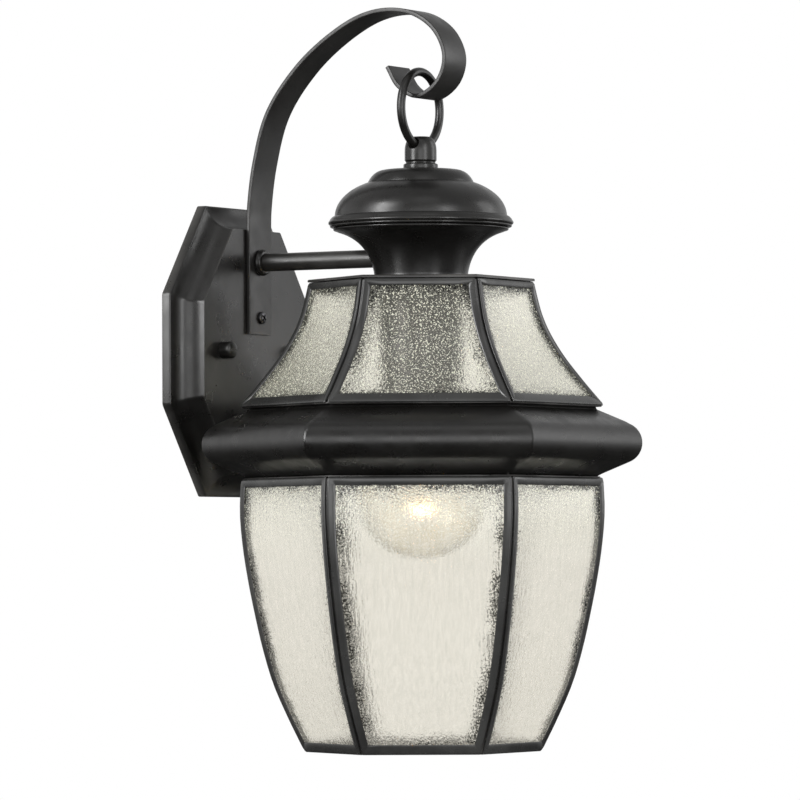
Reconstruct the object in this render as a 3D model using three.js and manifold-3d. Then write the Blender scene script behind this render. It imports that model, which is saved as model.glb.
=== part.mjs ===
// Outdoor wall lantern: a hexagonal lantern hung from a scroll strap on a wall plate.
// Millimetres, +Z up. The wall is the plane y = 0 and the lantern stands out towards -Y.
// The origin is the middle of the mounting bracket's back face.
import * as THREE from 'three';
import { mergeVertices } from 'three/addons/utils/BufferGeometryUtils.js';
import Module from 'manifold-3d';

const wasm = await Module();
wasm.setup();

// ---------------------------------------------------------------- driving dimensions
const SIDES = 6;                // glazed sides of the lantern
const SEAT = 0.1;               // gap between pieces that rest on each other
const TURNED_SEAT = 0.3;        // the same between turned copies and their neighbours
const FIT = 0.15;               // radial clearance of threads and shafts in their holes
const HOLE_FIT = 0.22;          // the same in thin sheet
const PAST = 1;                 // how far a cutting tool runs past the face it cuts
const HUB_START = 1;            // where sheets begin that are bored for the stem afterwards

// glazing: each side's profile as [corner radius, share of its height]
const UPPER_FOOT = 33.2;        // above the rim of the lower glazing
const UPPER_HEIGHT = 57.2;
const UPPER_CURVE = [[52.8, 1], [57.3, 0.7], [65.2, 0.437], [76.6, 0.175], [85.1, 0]];
const LOWER_HEIGHT = 125.7;
const LOWER_CURVE = [[84.3, 1], [84.6, 0.83], [80, 0.578], [70.4, 0.265], [55.3, 0]];
const FRAME_DEPTH = 4.4;
const FRAME_SHEET = 0.8;
const FRAME_FACE = 4;           // face width of the stiles
const UPPER_RAILS = { top: 3.4, bottom: 4.2 };
const LOWER_RAILS = { top: 4, bottom: 4.6 };
const FRAME_GAP = 1.2;          // between neighbouring frames at a corner
const PANE_PLAY = 0.2;          // pane in its channel
const PANEL_STEPS = 8;

// collar: bullet-section band around the shoulder
const COLLAR_NOSE_R = 102;
const COLLAR_NOSE_ROUND = 9.5;
const COLLAR_NOSE_DROP = 0.6;   // nose below the middle of the band
const COLLAR_SHEET = 1.2;
const COLLAR_EDGE_IN = 3.5;     // upright edges, inside the frames' corners
const COLLAR_UPSTAND = 1.8;     // upright edge under the upper frames
const COLLAR_FOOT = 0.6;        // the same over the lower frames
const COLLAR_SPREAD = 0.6;      // how far the upright edges splay
const COLLAR_LIP_IN = 8;        // how far the lips reach in under the frames
const COLLAR_GAP = 1.47;        // nose to the wall plate's face, which sets the reach

// spun metal
const SPUN_SHEET = 1;
const NECK_FOOT_R = 21.6;
const NECK_LIP_R = 41.7;
const NECK_LIP = 1.9;           // height of the turned-out lip
const NECK_HEIGHT = 23.7;
const CAP_TOP_R = 15.6;
const CAP_SHOULDER_R = 24.3;
const CAP_SHOULDER = 5.4;       // drop of the shoulder
const CAP_DOME_R = 39.8;
const CAP_BEAD = 2.2;
const CAP_HEIGHT = 26.6;
const TOP_PLATE = 1.2;
const TOP_EDGE_IN = 0.4;        // plate's edge, inside the frames' corners
const TOP_SKIRT = 6;
const TOP_SKIRT_SHEET = 1;

// stem, finial and ring
const PIPE_R = 4.85;
const PIPE_WALL = 1.65;
const PIPE_IN_FINIAL = 5.6;
const PIPE_IN_HUB = 4.3;
const FINIAL_FLANGE_R = 8;
const FINIAL_FLANGE = 2.7;
const FINIAL_BODY_R = 7.4;
const FINIAL_GROOVE = 0.6;      // depth of the groove above the flange
const FINIAL_SHOULDER_Z = 8.2;
const FINIAL_HEIGHT = 15.2;
const FINIAL_WEB = 2.1;         // metal between the stem bore and the ring hole
const RING_WIRE_R = 2;
const RING_R = 17.25;
const RING_HOLE_CLEARANCE = 0.9;
const STEM_NUT = { wall: 2.15, height: 4.4 };

// lamp and lamp holder
const LAMP_R = 30;
const LAMP_LENGTH = 110;
const LAMP_BASE_R = 13.1;
const LAMP_BASE_LENGTH = 26;
const LAMP_NECK_IN = 1.2;       // glass neck inside the base
const LAMP_NECK_LAP = 5;        // how far the glass neck runs into the base
const LAMP_WALL = 0.9;
const THREAD = { pitch: 3.63, depth: 0.8, turns: 4, foot: 4 };
const LAMP_SIDES = 20;          // facets of the base and of the glass inside it
const FILAMENT_DROP = 84;       // contact to filament
const FILAMENT_SPAN = 24;
const FILAMENT_R = 0.5;
const WIRE_R = 0.6;             // wires that hold the filament
const LAMP_PLAY = 0.6;          // lamp base in its screw shell
const SHELL_SHEET = 0.5;
const SHELL_END = 1.5;          // shell short of the body's mouth and of the contact
const SOCKET_WALL = 2.5;
const SOCKET_FLOOR = 6;
const SOCKET_LIP = 3;           // body beyond the lamp's base
const CONTACT = { r: 4.5, thick: 0.9, gap: 1.1 };
const CUP_PLAY = 1.35;          // body in its cup
const CUP_SHEET = 0.8;
const CUP_SKIRT = 6.1;          // cup beyond the body
const BRACKET_EDGE = 1.5;       // bracket's plate inside the body's outline
const BRACKET_PLATE = 1.6;
const HUB_R = 8;
const HUB_HEIGHT = 4.8;

// wall plate: an elongated octagon pan
const PLATE_HALF_W = 56.3;
const PLATE_HALF_H = 67.9;
const PLATE_CORNER = [30.2, 42.3];
const PLATE_SHEET = 1.2;
const PLATE_RIM = 4.6;
const PLATE_LAND = 1;
const PLATE_DEPTH = 16.2;
const PLATE_COVE = 9.8;
const COVE_STEPS = 5;

// mounting hardware
const BRACKET = { length: 101.6, width: 19, sheet: 2 };
const BOX_SCREW_SPACING = 88.9;
const SLOT = { length: 10, width: 4.6, inset: 1.5 };
const WALL_GAP = 0.2;           // screw tips short of the wall
const STUD_SPACING = 60;
const STUD_R = 2;
const STUD_NUT = { wall: 2.35, height: 3 };
const CAP_NUT = { r: 4, length: 7, dome: 2.2, web: 2.1, slotWidth: 2, slotDepth: 0.5 };
const STUD_END_GAP = 0.3;
const GROUND_SCREW = { offset: 15, shank: 1.8, head: 3.5, thick: 2 };

// scroll strap, arm and their fixings
const STRAP_WIDTH = 19.2;
const STRAP_SHEET = 2;
const STRAP_FOOT_Z = 8.2;
const STRAP_STRAIGHT_Z = [30, 58, 67];  // along the straight part, to where it starts to lean
const STRAP_LEAN = 0.3;
const STRAP_RISE = [                    // shares of the way from there to the crown
  [0.042, 0.232], [0.138, 0.496], [0.344, 0.726], [0.588, 0.889], [0.807, 0.979],
];
const STRAP_CURL = [                    // crown to tip, from the ring's centre: in and up
  [11, 45.9], [-2.7, 43], [-13.5, 34.8], [-18.3, 22.8],
  [-14.5, 11.8], [-3.5, 5.4], [6.5, 10.5], [12.3, 19.6],
];
const STRAP_SCREW_Z = 16;
const STRAP_STEPS = 54;
const SCREW = { shank: 1.6, head: 2.4, thick: 1.8, length: 9.5 };
const SCREW_NUT = { wall: 1.4, height: 2.4 };
const ARM_ON_PLATE = 41.9;      // arm above the plate's middle, which sets the lantern's height
const ARM_UP_NECK = 10.2;       // arm above the neck's foot
const ARM_R = 4.2;
const ARM_WALL = 1;
const ARM_IN_NECK = 18;         // inner end of the arm, from the lantern's axis
const ARM_IN_PLATE = 6;         // outer end, beyond the plate's sheet
const ARM_NUT = { wall: 1.3, height: 2.6 };
const ARM_RING = { wall: 2.05, length: 3, bulge: 1.45 };
const LEAD_R = 1.1;
const LEAD_GAP = 0.5;
const LEAD_HOLE = { y: 12.5, r: 4 };

// ---------------------------------------------------------------- materials
function metal(color, roughness) {
  return new THREE.MeshStandardMaterial({ color, roughness, metalness: 0.6 });
}
const darkMetal = () => metal(0x3c3a36, 0.55);
const steel = () => metal(0x9a9a98, 0.4);
const brass = () => metal(0xb08d4a, 0.35);
const glass = (color) => new THREE.MeshStandardMaterial({ color, roughness: 0.15, metalness: 0 });
const plastic = (color) => new THREE.MeshStandardMaterial({ color, roughness: 0.6, metalness: 0 });

// ---------------------------------------------------------------- solids
const COS30 = Math.cos(Math.PI / SIDES);
const TAN30 = Math.tan(Math.PI / SIDES);
const MERGE = 1e-4;             // corners closer than this are one

function signedVolume(position, index) {
  const corners = [new THREE.Vector3(), new THREE.Vector3(), new THREE.Vector3()];
  let volume = 0;
  for (let i = 0; i < index.length; i += 3) {
    corners.forEach((corner, k) => corner.fromBufferAttribute(position, index[i + k]));
    volume += corners[0].dot(corners[1].clone().cross(corners[2])) / 6;
  }
  return volume;
}

// Turns a closed geometry into a solid, with shared corners merged and faces outwards.
function toSolid(geometry) {
  const bare = (geometry.index ? geometry.toNonIndexed() : geometry.clone());
  bare.deleteAttribute('normal');
  bare.deleteAttribute('uv');
  const merged = mergeVertices(bare, MERGE);
  const source = merged.index.array;
  const triangles = [];
  for (let i = 0; i < source.length; i += 3) {
    const [a, b, c] = [source[i], source[i + 1], source[i + 2]];
    if (a !== b && b !== c && c !== a) triangles.push(a, b, c);
  }
  if (signedVolume(merged.attributes.position, triangles) < 0) triangles.reverse();
  return new wasm.Manifold(new wasm.Mesh({
    numProp: 3,
    vertProperties: new Float32Array(merged.attributes.position.array),
    triVerts: new Uint32Array(triangles),
  }));
}

function toGeometry(solid) {
  const mesh = solid.getMesh();
  const geometry = new THREE.BufferGeometry();
  geometry.setAttribute('position', new THREE.BufferAttribute(mesh.vertProperties, 3));
  geometry.setIndex(new THREE.BufferAttribute(mesh.triVerts, 1));
  return geometry;
}

function cut(geometry, ...tools) {
  const start = toSolid(geometry);
  return toGeometry(tools.reduce((solid, tool) => solid.subtract(toSolid(tool)), start));
}

function join(geometry, ...others) {
  const start = toSolid(geometry);
  return toGeometry(others.reduce((solid, other) => solid.add(toSolid(other)), start));
}

// Skins a row of outlines that all have the same number of corners; both ends are convex.
function loft(outlines) {
  const count = outlines[0].length;
  const positions = outlines.flat().flatMap((corner) => [corner.x, corner.y, corner.z]);
  const index = [];
  for (let row = 0; row + 1 < outlines.length; row += 1) {
    for (let k = 0; k < count; k += 1) {
      const a = row * count + k;
      const b = row * count + ((k + 1) % count);
      index.push(a, b, b + count, a, b + count, a + count);
    }
  }
  const last = (outlines.length - 1) * count;
  for (let k = 1; k + 1 < count; k += 1) {
    index.push(0, k + 1, k, last, last + k, last + k + 1);
  }
  const geometry = new THREE.BufferGeometry();
  geometry.setAttribute('position', new THREE.Float32BufferAttribute(positions, 3));
  geometry.setIndex(index);
  return geometry;
}

// Spins [radius, height] points about the Z axis.
function spin(points, segments) {
  const profile = points.map(([r, z]) => new THREE.Vector2(r, z));
  return new THREE.LatheGeometry(profile, segments).rotateX(Math.PI / 2);
}

// A sheet that follows an open profile on its left-hand side, closed for spinning.
function sheet(points, thickness) {
  const side = points.map(([r, z], i) => {
    const before = points[Math.max(i - 1, 0)];
    const after = points[Math.min(i + 1, points.length - 1)];
    const into = new THREE.Vector2(r - before[0], z - before[1]).normalize();
    const out = new THREE.Vector2(after[0] - r, after[1] - z).normalize();
    const along = into.clone().add(out).normalize();
    const stretch = thickness / Math.max(along.dot(out.lengthSq() ? out : into), 0.5);
    return [r - along.y * stretch, z + along.x * stretch];
  });
  return [...points, ...side.reverse(), points[0]];
}

function arc(centre, radius, from, to, steps) {
  return Array.from({ length: steps + 1 }, (_, i) => {
    const angle = THREE.MathUtils.lerp(from, to, i / steps);
    return [centre[0] + radius * Math.cos(angle), centre[1] + radius * Math.sin(angle)];
  });
}

function curvePoints(curve, steps) {
  return curve.getSpacedPoints(steps).map((point) => [point.x, point.y]);
}

function disc(radius, from, to, segments = 20) {
  return new THREE.CylinderGeometry(radius, radius, to - from, segments)
    .rotateX(Math.PI / 2).translate(0, 0, (from + to) / 2);
}

function tube(outer, inner, from, to, segments = 20) {
  return spin([[inner, from], [outer, from], [outer, to], [inner, to], [inner, from]], segments);
}

// A hexagon nut for a threaded piece of a radius.
function hexNut({ wall, height }, radius, from) {
  const blank = disc((radius + wall) / COS30, from, from + height, 6);
  return cut(blank, disc(radius + FIT, from - PAST, from + height + PAST, 16));
}

// Lays a piece made about the Z axis along the Y axis, so that its +Z points out of the wall.
function layOut(geometry, x, z) {
  return geometry.rotateX(Math.PI / 2).translate(x, 0, z);
}

// Angle at which a line from a point touches a circle, on the side that turn gives.
function touchAngle(centre, radius, point, turn) {
  const [dx, dz] = [point[0] - centre[0], point[1] - centre[1]];
  return Math.atan2(dz, dx) - turn * Math.acos(radius / Math.hypot(dx, dz));
}

// ---------------------------------------------------------------- levels above the rim
const topPlateZ = UPPER_FOOT + UPPER_HEIGHT + TURNED_SEAT;
const neckZ = topPlateZ + TOP_PLATE + SEAT;
const capZ = neckZ + NECK_HEIGHT + SEAT;
const capTop = capZ + CAP_HEIGHT;
const finialZ = capTop + SEAT;
const pipeTop = finialZ + PIPE_IN_FINIAL;
const ringHoleR = RING_WIRE_R + RING_HOLE_CLEARANCE;
const ringCentreZ = pipeTop + FIT + FINIAL_WEB + ringHoleR + RING_R;
const armOnLantern = neckZ + ARM_UP_NECK;

// ---------------------------------------------------------------- scene
const reach = PLATE_DEPTH + COLLAR_GAP + COLLAR_NOSE_R * COS30;
const rimZ = ARM_ON_PLATE - armOnLantern;
const lamp = new THREE.Group();
const fixture = new THREE.Group();
const hung = new THREE.Group();
hung.position.set(0, -reach, rimZ);
fixture.add(hung);
hung.add(lamp);

function place(group, name, geometry, material) {
  const solid = toGeometry(toSolid(geometry));
  solid.computeVertexNormals();
  const mesh = new THREE.Mesh(solid, material);
  mesh.name = name;
  group.add(mesh);
}

// ---------------------------------------------------------------- glazing
// A side profile gives its corner radius and tilt at any height.
function sideProfile(points, foot, height) {
  const curve = new THREE.SplineCurve(points.map(
    ([r, share]) => new THREE.Vector2(r, foot + share * height)));
  function at(z) {
    let low = 0;
    let high = 1;
    for (let i = 0; i < 40; i += 1) {
      const middle = (low + high) / 2;
      if (curve.getPoint(middle).y > z) low = middle;
      else high = middle;
    }
    const tangent = curve.getTangent(low);
    return { radius: curve.getPoint(low).x, cosTilt: Math.abs(tangent.y) / tangent.length() };
  }
  return { top: foot + height, bottom: foot, at };
}

// A curved slab of one side, between two heights and two depths under its outer face.
// halfWidth takes the apothem of the outer face and of the depth in question.
function sideSlab(profile, bottom, top, near, far, halfWidth) {
  const step = (profile.top - profile.bottom) / PANEL_STEPS;
  const heights = [bottom];
  for (let k = 1; k < PANEL_STEPS; k += 1) {
    const z = profile.bottom + k * step;
    if (z > bottom + PAST && z < top - PAST) heights.push(z);
  }
  heights.push(top);
  return loft(heights.map((z) => {
    const { radius, cosTilt } = profile.at(z);
    const face = radius * COS30;
    const [front, back] = [near, far].map((depth) => face - depth / cosTilt);
    const [wide, narrow] = [front, back].map((apothem) => halfWidth(face, apothem));
    return [
      new THREE.Vector3(-wide, -front, z),
      new THREE.Vector3(wide, -front, z),
      new THREE.Vector3(narrow, -back, z),
      new THREE.Vector3(-narrow, -back, z),
    ];
  }));
}

const mitred = (inset) => (face, apothem) => apothem * TAN30 - inset / COS30;
const square = (inset) => (face) => face * TAN30 - inset / COS30;

function glazingFrame(profile, rails) {
  const edge = FRAME_GAP / 2;
  const { top, bottom } = profile;
  const slab = sideSlab(profile, bottom, top, 0, FRAME_DEPTH, mitred(edge));
  const window = sideSlab(profile, bottom + rails.bottom, top - rails.top,
    -PAST, FRAME_DEPTH + PAST, square(edge + FRAME_FACE));
  const groove = sideSlab(profile, bottom + FRAME_SHEET, top - FRAME_SHEET,
    FRAME_SHEET, FRAME_DEPTH - FRAME_SHEET, mitred(edge + FRAME_SHEET));
  return cut(slab, groove, window);
}

function pane(profile) {
  const inset = FRAME_SHEET + PANE_PLAY;
  return sideSlab(profile, profile.bottom + inset, profile.top - inset,
    inset, FRAME_DEPTH - inset, mitred(FRAME_GAP / 2 + inset));
}

const upper = sideProfile(UPPER_CURVE, UPPER_FOOT, UPPER_HEIGHT);
const lower = sideProfile(LOWER_CURVE, -LOWER_HEIGHT, LOWER_HEIGHT);
['front', 'front_right', 'back_right', 'back', 'back_left', 'front_left'].forEach((side, k) => {
  const turned = new THREE.Group();
  turned.rotation.z = (k * 2 * Math.PI) / SIDES;
  hung.add(turned);
  place(turned, `upper_frame_${side}`, glazingFrame(upper, UPPER_RAILS), darkMetal());
  place(turned, `upper_glass_${side}`, pane(upper), glass(0xd8d4c4));
  place(turned, `lower_frame_${side}`, glazingFrame(lower, LOWER_RAILS), darkMetal());
  place(turned, `lower_glass_${side}`, pane(lower), glass(0xe2ded0));
});

// ---------------------------------------------------------------- collar
function collar() {
  const top = upper.bottom - TURNED_SEAT;
  const bottom = lower.top + TURNED_SEAT;
  const edgeR = (upper.at(upper.bottom).radius + lower.at(lower.top).radius) / 2 - COLLAR_EDGE_IN;
  const centre = [COLLAR_NOSE_R - COLLAR_NOSE_ROUND, (top + bottom) / 2 - COLLAR_NOSE_DROP];
  const above = [edgeR + COLLAR_SPREAD, top - COLLAR_UPSTAND];
  const below = [edgeR + COLLAR_SPREAD, bottom + COLLAR_FOOT];
  const nose = arc(centre, COLLAR_NOSE_ROUND,
    touchAngle(centre, COLLAR_NOSE_ROUND, above, 1),
    touchAngle(centre, COLLAR_NOSE_ROUND, below, -1), 7);
  const outline = [
    [edgeR - COLLAR_LIP_IN, top],
    [edgeR, top],
    above,
    ...nose,
    below,
    [edgeR, bottom],
    [edgeR - COLLAR_LIP_IN, bottom],
  ];
  return spin(sheet(outline.reverse(), COLLAR_SHEET), SIDES).rotateZ(Math.PI / SIDES);
}
place(hung, 'collar', collar(), darkMetal());

// ---------------------------------------------------------------- top plate, neck and cap
const leadHole = (from, to) => disc(LEAD_HOLE.r, from, to, 14).translate(0, LEAD_HOLE.y, 0);
const stemHole = (from, to) => disc(PIPE_R + HOLE_FIT, from, to, 16);

function topPlate() {
  const { radius, cosTilt } = upper.at(upper.top);
  const skirtR = radius - FRAME_DEPTH / COS30 / cosTilt - TURNED_SEAT;
  const edgeR = radius - TOP_EDGE_IN;
  const outline = [
    [0, topPlateZ + TOP_PLATE],
    [0, topPlateZ],
    [skirtR - TOP_SKIRT_SHEET, topPlateZ],
    [skirtR - TOP_SKIRT_SHEET, topPlateZ - TOP_SKIRT],
    [skirtR, topPlateZ - TOP_SKIRT],
    [skirtR, topPlateZ],
    [edgeR, topPlateZ],
    [edgeR, topPlateZ + TOP_PLATE],
    [0, topPlateZ + TOP_PLATE],
  ];
  const tray = spin(outline, SIDES).rotateZ(Math.PI / SIDES);
  return cut(tray, stemHole(topPlateZ - PAST, neckZ), leadHole(topPlateZ - PAST, neckZ));
}

function neck() {
  const lipZ = neckZ + NECK_HEIGHT;
  const flare = new THREE.CubicBezierCurve(
    new THREE.Vector2(NECK_FOOT_R, neckZ + 0.06 * NECK_HEIGHT),
    new THREE.Vector2(NECK_FOOT_R + 1, neckZ + 0.42 * NECK_HEIGHT),
    new THREE.Vector2(NECK_FOOT_R + 5.5, neckZ + 0.78 * NECK_HEIGHT),
    new THREE.Vector2(NECK_LIP_R - 2.2, lipZ - NECK_LIP),
  );
  const outline = [
    [HUB_START, neckZ],
    [NECK_FOOT_R - 0.8, neckZ],
    ...curvePoints(flare, 6),
    [NECK_LIP_R, lipZ - SPUN_SHEET],
  ];
  const shell = spin(sheet(outline, SPUN_SHEET), 24);
  const armHole = layOut(disc(ARM_R + FIT, -NECK_LIP_R, -ARM_IN_NECK, 16), 0, armOnLantern);
  return cut(shell, stemHole(neckZ - PAST, capZ), leadHole(neckZ - PAST, neckZ + 2 * SPUN_SHEET),
    armHole);
}

function cap() {
  const beadTop = capZ + 2 * CAP_BEAD;
  const shoulderZ = capTop - CAP_SHOULDER;
  const domeZ = shoulderZ - 0.9;
  const domeDrop = domeZ - beadTop - 0.8;
  const bead = arc([CAP_DOME_R + 0.8, capZ + CAP_BEAD], CAP_BEAD, 0.6 * Math.PI, -0.5 * Math.PI, 5);
  const shoulder = new THREE.QuadraticBezierCurve(
    new THREE.Vector2(CAP_TOP_R, capTop),
    new THREE.Vector2(CAP_SHOULDER_R - 2.4, capTop - 0.4),
    new THREE.Vector2(CAP_SHOULDER_R, shoulderZ),
  );
  const dome = new THREE.CubicBezierCurve(
    new THREE.Vector2(CAP_SHOULDER_R + 1, domeZ),
    new THREE.Vector2(CAP_DOME_R - 5.6, domeZ - 0.18 * domeDrop),
    new THREE.Vector2(CAP_DOME_R - 0.6, domeZ - 0.54 * domeDrop),
    new THREE.Vector2(CAP_DOME_R, domeZ - domeDrop),
  );
  const outline = [
    [HUB_START, capTop],
    ...curvePoints(shoulder, 3),
    ...curvePoints(dome, 5),
    ...bead,
  ];
  return cut(spin(sheet(outline.reverse(), SPUN_SHEET), 24),
    stemHole(capTop - 2 * SPUN_SHEET, capTop + PAST));
}

place(hung, 'top_plate', topPlate(), darkMetal());
place(hung, 'neck', neck(), darkMetal());
place(hung, 'cap', cap(), darkMetal());

// ---------------------------------------------------------------- stem, finial and ring
function ringAround(wireR, segments) {
  return new THREE.TorusGeometry(RING_R, wireR, 8, segments)
    .rotateX(Math.PI / 2).translate(0, 0, ringCentreZ);
}

function finial() {
  const top = finialZ + FINIAL_HEIGHT;
  const shoulder = new THREE.QuadraticBezierCurve(
    new THREE.Vector2(FINIAL_BODY_R, finialZ + FINIAL_SHOULDER_Z),
    new THREE.Vector2(FINIAL_BODY_R - 0.4, top - 0.6),
    new THREE.Vector2(FINIAL_BODY_R / 2, top),
  );
  const outline = [
    [0, finialZ],
    [FINIAL_FLANGE_R, finialZ],
    [FINIAL_FLANGE_R, finialZ + FINIAL_FLANGE],
    [FINIAL_BODY_R - FINIAL_GROOVE, finialZ + FINIAL_FLANGE + 0.3],
    [FINIAL_BODY_R - FINIAL_GROOVE, finialZ + FINIAL_FLANGE + 1.1],
    [FINIAL_BODY_R, finialZ + FINIAL_FLANGE + 1.5],
    ...curvePoints(shoulder, 5),
    [0, top],
  ];
  const stemBore = stemHole(finialZ - PAST, pipeTop + FIT);
  return cut(spin(outline, 16), stemBore, ringAround(ringHoleR, 28));
}

const cupTop = topPlateZ - SEAT;
const stemNutTop = cupTop - CUP_SHEET - SEAT;
const stemNutZ = stemNutTop - STEM_NUT.height;
const hubTop = stemNutZ - SEAT;
const bracketZ = hubTop - HUB_HEIGHT;

place(hung, 'stem_pipe', tube(PIPE_R, PIPE_R - PIPE_WALL, hubTop - PIPE_IN_HUB, pipeTop, 16),
  steel());
place(hung, 'stem_lock_nut', hexNut(STEM_NUT, PIPE_R, stemNutZ), steel());
place(hung, 'finial', finial(), darkMetal());
place(hung, 'hanging_ring', ringAround(RING_WIRE_R, 28), darkMetal());

// ---------------------------------------------------------------- lamp holder
const bodyTop = bracketZ - SEAT;
const contactZ = bodyTop - SOCKET_FLOOR - SEAT;
const lampTop = contactZ - CONTACT.gap;
const bodyBottom = lampTop - LAMP_BASE_LENGTH - SOCKET_LIP;
const shellR = LAMP_BASE_R + LAMP_PLAY;
const bodyBoreR = shellR + SHELL_SHEET + TURNED_SEAT;
const bodyR = bodyBoreR + SOCKET_WALL;
const cupR = bodyR + CUP_PLAY + CUP_SHEET;
const cupBottom = bodyBottom - CUP_SKIRT;

function socketCup() {
  const wall = [
    [HUB_START, cupTop],
    [cupR - CUP_SHEET, cupTop],
    [cupR, cupTop - CUP_SHEET],
    [cupR, cupBottom],
    [cupR - CUP_SHEET, cupBottom],
    [cupR - CUP_SHEET, cupTop - CUP_SHEET],
    [HUB_START, cupTop - CUP_SHEET],
    [HUB_START, cupTop],
  ];
  const [from, to] = [cupTop - 2 * CUP_SHEET, cupTop + PAST];
  return cut(spin(wall, 24), stemHole(from, to), leadHole(from, to));
}

function socketBracket() {
  const plate = disc(bodyR - BRACKET_EDGE, bracketZ, bracketZ + BRACKET_PLATE, 20);
  const hub = disc(HUB_R, bracketZ + BRACKET_PLATE / 2, hubTop, 16);
  return cut(join(plate, hub), stemHole(bracketZ - PAST, hubTop + PAST));
}

function socketBody() {
  return spin([
    [0, bodyTop],
    [bodyR - 1, bodyTop],
    [bodyR, bodyTop - 1],
    [bodyR, bodyBottom],
    [bodyBoreR, bodyBottom],
    [bodyBoreR, bodyTop - SOCKET_FLOOR],
    [0, bodyTop - SOCKET_FLOOR],
  ], 20);
}

place(hung, 'socket_cup', socketCup(), darkMetal());
place(hung, 'socket_bracket', socketBracket(), steel());
place(hung, 'socket_body', socketBody(), plastic(0x1c1a18));
place(hung, 'socket_shell', tube(shellR + SHELL_SHEET, shellR,
  bodyBottom + SHELL_END, contactZ - SHELL_END, 20), brass());
place(hung, 'socket_contact', disc(CONTACT.r, contactZ - CONTACT.thick, contactZ, 12), brass());

// ---------------------------------------------------------------- lamp
const baseBottom = lampTop - LAMP_BASE_LENGTH;
const lampBottom = lampTop - LAMP_LENGTH;
const filamentZ = lampTop - FILAMENT_DROP;
const envelopeR = LAMP_BASE_R - LAMP_NECK_IN;

function lampBase() {
  const ridges = [];
  const rootR = LAMP_BASE_R - THREAD.depth;
  for (let k = 0; k < THREAD.turns; k += 1) {
    const z = baseBottom + THREAD.foot + k * THREAD.pitch;
    ridges.push([rootR, z], [LAMP_BASE_R, z + THREAD.pitch / 2]);
  }
  const shoulderZ = baseBottom + THREAD.foot + THREAD.turns * THREAD.pitch;
  return spin([
    [envelopeR + FIT, baseBottom],
    [LAMP_BASE_R - 0.3, baseBottom],
    ...ridges,
    [rootR, shoulderZ],
    [6, lampTop - 2.4],
    [4.8, lampTop - 0.6],
    [2.5, lampTop],
    [0, lampTop],
    [0, shoulderZ - 1],
    [envelopeR + FIT, shoulderZ - 3],
    [envelopeR + FIT, baseBottom],
  ], LAMP_SIDES);
}

function envelope() {
  const ballZ = lampBottom + LAMP_R;
  const ball = arc([0, ballZ], LAMP_R, -0.5 * Math.PI, 0.14 * Math.PI, 8);
  const shoulder = new THREE.CubicBezierCurve(
    new THREE.Vector2(...ball.at(-1)),
    new THREE.Vector2(LAMP_R - 7.5, ballZ + 26),
    new THREE.Vector2(envelopeR + 2, baseBottom - 14),
    new THREE.Vector2(envelopeR, baseBottom - 1),
  );
  const outline = [
    [0, lampBottom],
    ...ball.slice(1, -1),
    ...curvePoints(shoulder, 5),
    [envelopeR, baseBottom + LAMP_NECK_LAP],
  ];
  return spin(sheet(outline, LAMP_WALL), LAMP_SIDES);
}

function lampStem() {
  const flareR = envelopeR - LAMP_WALL - TURNED_SEAT;
  const flareTop = baseBottom + LAMP_NECK_LAP;
  const stem = spin([
    [0, flareTop],
    [flareR, flareTop],
    [flareR - 0.8, flareTop - 3],
    [5, flareTop - 11],
    [3.4, flareTop - 29],
    [0, flareTop - 30],
    [0, flareTop],
  ], 12);
  const wires = [-1, 1].map((side) => {
    const foot = new THREE.Vector3(side * 1.8, 0, flareTop - 27);
    const tip = new THREE.Vector3((side * FILAMENT_SPAN) / 2, 0, filamentZ);
    const line = new THREE.LineCurve3(foot, tip);
    return new THREE.ExtrudeGeometry(circle(WIRE_R, 6), { extrudePath: line, steps: 1 });
  });
  return join(stem, ...wires);
}

function circle(radius, segments) {
  return new THREE.Shape(arc([0, 0], radius, 0, 2 * Math.PI, segments).slice(0, -1)
    .map(([x, y]) => new THREE.Vector2(x, y)));
}

function filament() {
  const endZ = filamentZ - WIRE_R - FILAMENT_R - TURNED_SEAT;
  const half = FILAMENT_SPAN / 2;
  const path = new THREE.QuadraticBezierCurve3(
    new THREE.Vector3(-half, 0, endZ),
    new THREE.Vector3(0, 0, endZ - 4.6),
    new THREE.Vector3(half, 0, endZ),
  );
  return new THREE.ExtrudeGeometry(circle(FILAMENT_R, 6), { extrudePath: path, steps: 8 });
}

place(lamp, 'lamp_base', lampBase(), steel());
place(lamp, 'lamp_glass', envelope(), glass(0xffe8c0));
place(lamp, 'lamp_stem', lampStem(), glass(0xe8e8e8));
place(lamp, 'lamp_filament', filament(), metal(0xffc070, 0.4));

// ---------------------------------------------------------------- wall plate
// The octagon's corners when every edge is moved in by the same distance.
function plateOutline(inset, y) {
  const [cutX, cutZ] = PLATE_CORNER;
  const normal = new THREE.Vector2(cutZ, cutX).normalize();
  const reach = normal.x * PLATE_HALF_W + normal.y * (PLATE_HALF_H - cutZ) - inset;
  const halfW = PLATE_HALF_W - inset;
  const halfH = PLATE_HALF_H - inset;
  const onSide = (reach - normal.x * halfW) / normal.y;
  const onTop = (reach - normal.y * halfH) / normal.x;
  const corners = [
    [halfW, -onSide], [halfW, onSide], [onTop, halfH], [-onTop, halfH],
    [-halfW, onSide], [-halfW, -onSide], [-onTop, -halfH], [onTop, -halfH],
  ];
  return corners.map(([x, z]) => new THREE.Vector3(x, -y, z));
}

function plateForm(offset) {
  const rows = [[offset, offset ? -PAST : 0], [offset, PLATE_RIM - offset]];
  for (let k = 0; k <= COVE_STEPS; k += 1) {
    const angle = (k / COVE_STEPS) * (Math.PI / 2);
    const inset = PLATE_LAND + PLATE_COVE * Math.sin(angle);
    const rise = (PLATE_DEPTH - PLATE_RIM) * (1 - Math.cos(angle));
    rows.push([inset + offset, PLATE_RIM + rise - offset]);
  }
  return loft(rows.map(([inset, y]) => plateOutline(inset, y)));
}

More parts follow.
